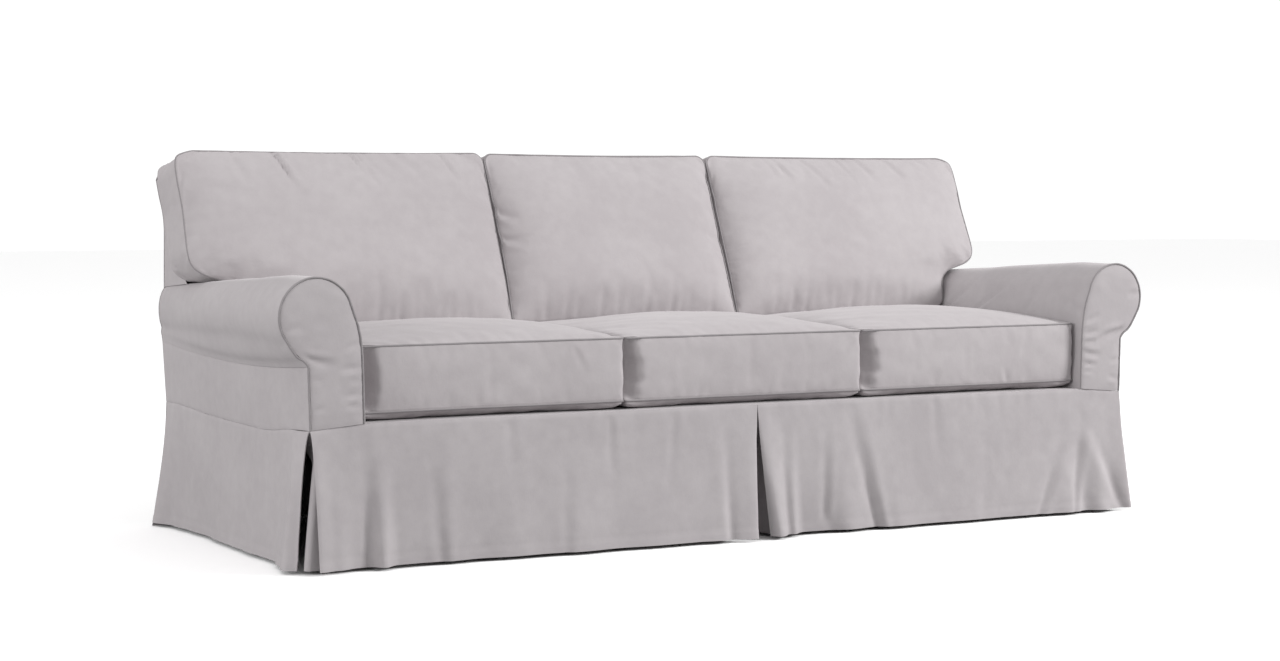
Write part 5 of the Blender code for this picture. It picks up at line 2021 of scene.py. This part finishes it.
@dataclass
class BackCushion:
    """Raked back cushion; the outer two widen into an ear above the arm."""

    slot: int
    crown: float
    peak_up: float
    peak_across: float
    lean: float = math.radians(22.6)
    foot: tuple[float, float] = (0.130, 0.4870)
    height: float = 0.417
    thick: float = 0.125
    top_fall: float = math.radians(12.0)
    full_fall: float = 0.45
    side_room: float = 0.0021
    corners: tuple[float, float] = (0.012, 0.024)
    draw: float = 0.004
    sag: float = 0.003
    pitch: float = 0.0119
    ear_clear: float = 0.004
    plump: float = 0.60
    foot_drop: float = 0.013
    boxing_pitch: float = 0.0125
    bulge: float = 0.0010
    up_pitch: float = 0.0085
    ear_rows: tuple[float, float, float] = (0.079, 0.170, 0.0035)
    least_row: float = 0.0018
    nip_height: float = 0.013
    nips: Sequence[tuple[float, float, float]] = ()

    @property
    def word(self) -> str:
        """The cushion's place in node names."""
        return PLACE_WORDS[self.slot]

    def form(self) -> FilledCushion:
        """The cushion's lattice, ear, crown and creases.

        Returns:
            The cushion, ready to build.
        """
        inner = 0.5 * PITCH + self.side_room * (1.0 if self.slot else -1.0)
        ear_up, ear_out = np.array(EAR).T
        if self.slot == 0:
            low, high = -inner, inner
        else:
            low, high = inner, 1.077
        up = graded(0.0, self.height, (0.0, 0.003, 0.0065, 0.011, 0.016, 0.021), self.up_pitch)
        if self.slot:
            up = np.unique(np.round(np.concatenate([up, np.arange(*self.ear_rows)]), 4))
            up = up[np.concatenate([[True], np.diff(up) > self.least_row])]
        across = graded(low, high, EDGE, self.pitch)
        deep, insets = boxing_stations(self.thick, self.boxing_pitch, self.bulge)
        sign = float(self.slot) if self.slot else 1.0

        def flat(a: Array, b: Array) -> tuple[Array, Array]:
            """Outline with rounded corners, drawn-in sides and the ear.

            Args:
                a: First lattice coordinate.
                b: Second lattice coordinate.

            Returns:
                The two plane coordinates.
            """
            p, q = rounded(a, b, self.corners, (low, 0.0), (high, self.height))
            share = (p - low) / (high - low)
            if self.slot:
                out = curve(ear_up, ear_out, q)
                p = low + (out - low) * share
            else:
                side = 2.0 * share - 1.0
                p = p - self.draw * side ** 3 * (1.0 - (2.0 * q / self.height - 1.0) ** 2)
            along = 2.0 * share - 1.0
            for height, end, depth in self.nips:
                near = np.exp(-((q - height) / self.nip_height) ** 2)
                p = p - depth * end * near * smooth(0.75, 1.0, along * end)
            near_top = smooth(0.6, 1.0, q / self.height)
            return sign * p, q - self.sag * (1.0 - along ** 2) * near_top

        def in_place(q: Array, depth: Array) -> tuple[Array, Array]:
            """The front is raked and the rear lies on the inside back.

            Args:
                q: Place up the cushion.
                depth: Depth behind its front face.

            Returns:
                Depth in the sofa and height.
            """
            z = self.foot[1] + q * math.cos(self.lean)
            z = z - depth * math.tan(self.top_fall) * np.minimum(
                1.0, q / (self.height * self.full_fall))
            front = self.foot[0] + q * math.sin(self.lean)
            return front + (inside_back_y(z) - GAP - front) * depth / self.thick, z

        def place(p: Array, q: Array, depth: Array, face: Array, plane: Array) -> Array:
            """Plane point and depth to the floor frame, with the crown.

            Args:
                p: Place across.
                q: Place up the cushion.
                depth: Depth behind its front face.
                face: Whether the point gets the crown.
                plane: Its place in the square lattice.

            Returns:
                One row of three coordinates for each point.
            """
            y, z = in_place(q, depth + seam_step(depth, face, self.thick))
            if self.slot:
                over = np.abs(p) > ROLL_X - ROLL_RADIUS
                lift = np.maximum(0.0, arm_top(p, y) + self.ear_clear - z)
                z = z + np.where(over, lift, 0.0)
            u = 2.0 * (plane[:, 0] - low) / (high - low) - 1.0
            v = 2.0 * plane[:, 1] / self.height - 1.0
            peak_v = 2.0 * self.peak_up - 1.0
            slack = share_of_crown(u, self.peak_across, 2.4) * share_of_crown(v, peak_v, 2.4)
            tight = share_of_crown(u, self.peak_across, 6.0) * share_of_crown(v, peak_v, 4.5)
            rise = (self.crown - SWELL_BACK) * (slack + (tight - slack) * self.plump)
            rise = np.where(face & (depth < self.thick / 2), rise, 0.0)
            room = np.maximum(0.0, self.foot[1] - 0.004 - seat_level(p, self.foot[0] + 0.02))
            drop = np.minimum(room, self.foot_drop) * (1.0 - smooth(0.0, 0.11, plane[:, 1]))
            drop = np.where(np.abs(p) < ARM_INNER - 0.008, drop, 0.0)
            return np.stack([p, y - rise * math.cos(self.lean),
                             z + rise * math.sin(self.lean) - drop], -1)

        return FilledCushion(
            "back_cushion_" + self.word, "back_" + self.word,
            (("back_piping_" + self.word, "back_welt_" + self.word, SEAM_SINK),),
            across, up, deep, insets, flat, place, Chart.FRONT, BACK_CREASES[self.slot], (),
            Chart.TOP, None, swell=SWELL_BACK, fill=0.75, seed=121 + self.slot)


BACKS = (BackCushion(-1, 0.052, 0.40, 0.05, plump=0.35),
         BackCushion(0, 0.052, 0.38, -0.05,
                     nips=((0.275, -1.0, 0.003), (0.190, -1.0, 0.003), (0.355, 1.0, 0.003),
                           (0.190, 1.0, 0.004))),
         BackCushion(1, 0.052, 0.40, -0.08, nips=((0.30, -1.0, 0.002),)))


# ------------------------------------------------------------------ stage
class Lamp(NamedTuple):
    """One soft area light, aimed at a point of the floor frame."""

    name: str
    at: tuple[float, float, float]
    towards: tuple[float, float, float]
    size: float
    power: float


LAMPS = (Lamp("key", (6.4, -5.35, 3.9), (0.2, 0.0, 0.4), 2.4, 625.0),
         Lamp("fill", (-9.0, -1.4, 2.4), (0.0, 0.0, 0.5), 3.6, 330.0))


@dataclass
class Studio:
    """Pale floor, soft lights and the camera."""

    camera_at: tuple[float, float, float] = (-2.9641, -5.0588, 0.7654)
    yaw: float = 0.5237
    pitch: float = 0.0529
    lens: float = 70.19
    sensor: float = 36.0
    far: float = 60.0
    floor_size: float = 60.0
    floor_tone: float = 1.35
    floor_bounce: float = 0.34
    floor_roughness: float = 0.9
    floor_specular: float = 0.1
    surround: float = 0.72
    backdrop: float = 1.06

    def build_camera(self) -> None:
        """Places the camera as in the picture."""
        data = bpy.data.cameras.new("camera")
        data.lens = self.lens
        data.sensor_width = self.sensor
        data.clip_end = self.far
        camera = bpy.data.objects.new("camera", data)
        camera.location = Vector(self.camera_at) - Vector(HOLD_POINT)
        camera.rotation_euler = (math.pi / 2.0 - self.pitch, 0.0, -self.yaw)
        bpy.context.scene.collection.objects.link(camera)
        bpy.context.scene.camera = camera

    def build_floor(self) -> None:
        """A plain pale floor that runs far back."""
        bpy.ops.object.select_all(action="DESELECT")
        level = FLOOR_LEVEL - HOLD_POINT[2]
        bpy.ops.mesh.primitive_plane_add(size=self.floor_size, location=(0.0, 0.0, level))
        floor = bpy.context.active_object
        floor.name = "floor"
        paint = bpy.data.materials.new("pale_floor")
        paint.use_nodes = True
        nodes, links = paint.node_tree.nodes, paint.node_tree.links
        shader = nodes["Principled BSDF"]
        shader.inputs["Roughness"].default_value = self.floor_roughness
        shader.inputs["Specular IOR Level"].default_value = self.floor_specular
        seen = nodes.new("ShaderNodeLightPath")
        tone = nodes.new("ShaderNodeMix")
        tone.data_type = "RGBA"
        tone.inputs["A"].default_value = (*(self.floor_bounce,) * 3, 1.0)
        tone.inputs["B"].default_value = (*(self.floor_tone,) * 3, 1.0)
        links.new(seen.outputs["Is Camera Ray"], tone.inputs["Factor"])
        links.new(tone.outputs["Result"], shader.inputs["Base Color"])
        floor.data.materials.append(paint)

    @staticmethod
    def light(lamp: Lamp) -> None:
        """Adds one soft area light.

        Args:
            lamp: Where it hangs, what it lights and how strongly.
        """
        data = bpy.data.lights.new(lamp.name, "AREA")
        data.shape = "SQUARE"
        data.size = lamp.size
        data.energy = lamp.power
        hung = bpy.data.objects.new(lamp.name, data)
        hung.location = Vector(lamp.at) - Vector(HOLD_POINT)
        aim = Vector(lamp.towards) - Vector(lamp.at)
        hung.rotation_mode = "QUATERNION"
        hung.rotation_quaternion = aim.to_track_quat("-Z", "Y")
        bpy.context.scene.collection.objects.link(hung)

    def build_lights(self) -> None:
        """A white surround and large soft lights."""
        world = bpy.data.worlds.new("surround")
        world.use_nodes = True
        nodes, links = world.node_tree.nodes, world.node_tree.links
        background = nodes["Background"]
        background.inputs["Color"].default_value = (1.0, 1.0, 1.0, 1.0)
        seen = nodes.new("ShaderNodeLightPath")
        level = nodes.new("ShaderNodeMapRange")
        level.inputs["To Min"].default_value = self.surround
        level.inputs["To Max"].default_value = self.backdrop
        links.new(seen.outputs["Is Camera Ray"], level.inputs["Value"])
        links.new(level.outputs["Result"], background.inputs["Strength"])
        bpy.context.scene.world = world
        for lamp in LAMPS:
            self.light(lamp)

    def build(self) -> None:
        """Builds the whole stage."""
        bpy.context.scene.view_settings.view_transform = "Standard"
        self.build_camera()
        self.build_floor()
        self.build_lights()


def main() -> None:
    """Builds the cover and its cushions in order and reports each piece."""
    logging.basicConfig(level=logging.INFO, format="%(name)s: %(message)s")
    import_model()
    Studio().build()
    for panel in BodyPanels().panels() + Skirt().panels():
        panel.build()
    for side in Side:
        arm = Arm(side)
        for panel in (arm.over(), arm.outer(), arm.facing()):
            panel.build()
        arm.piping().build()
    for seat in SEATS:
        seat.form().build()
    for back in BACKS:
        back.form().build()
    bpy.context.view_layer.update()


if __name__ == "__main__":
    main()
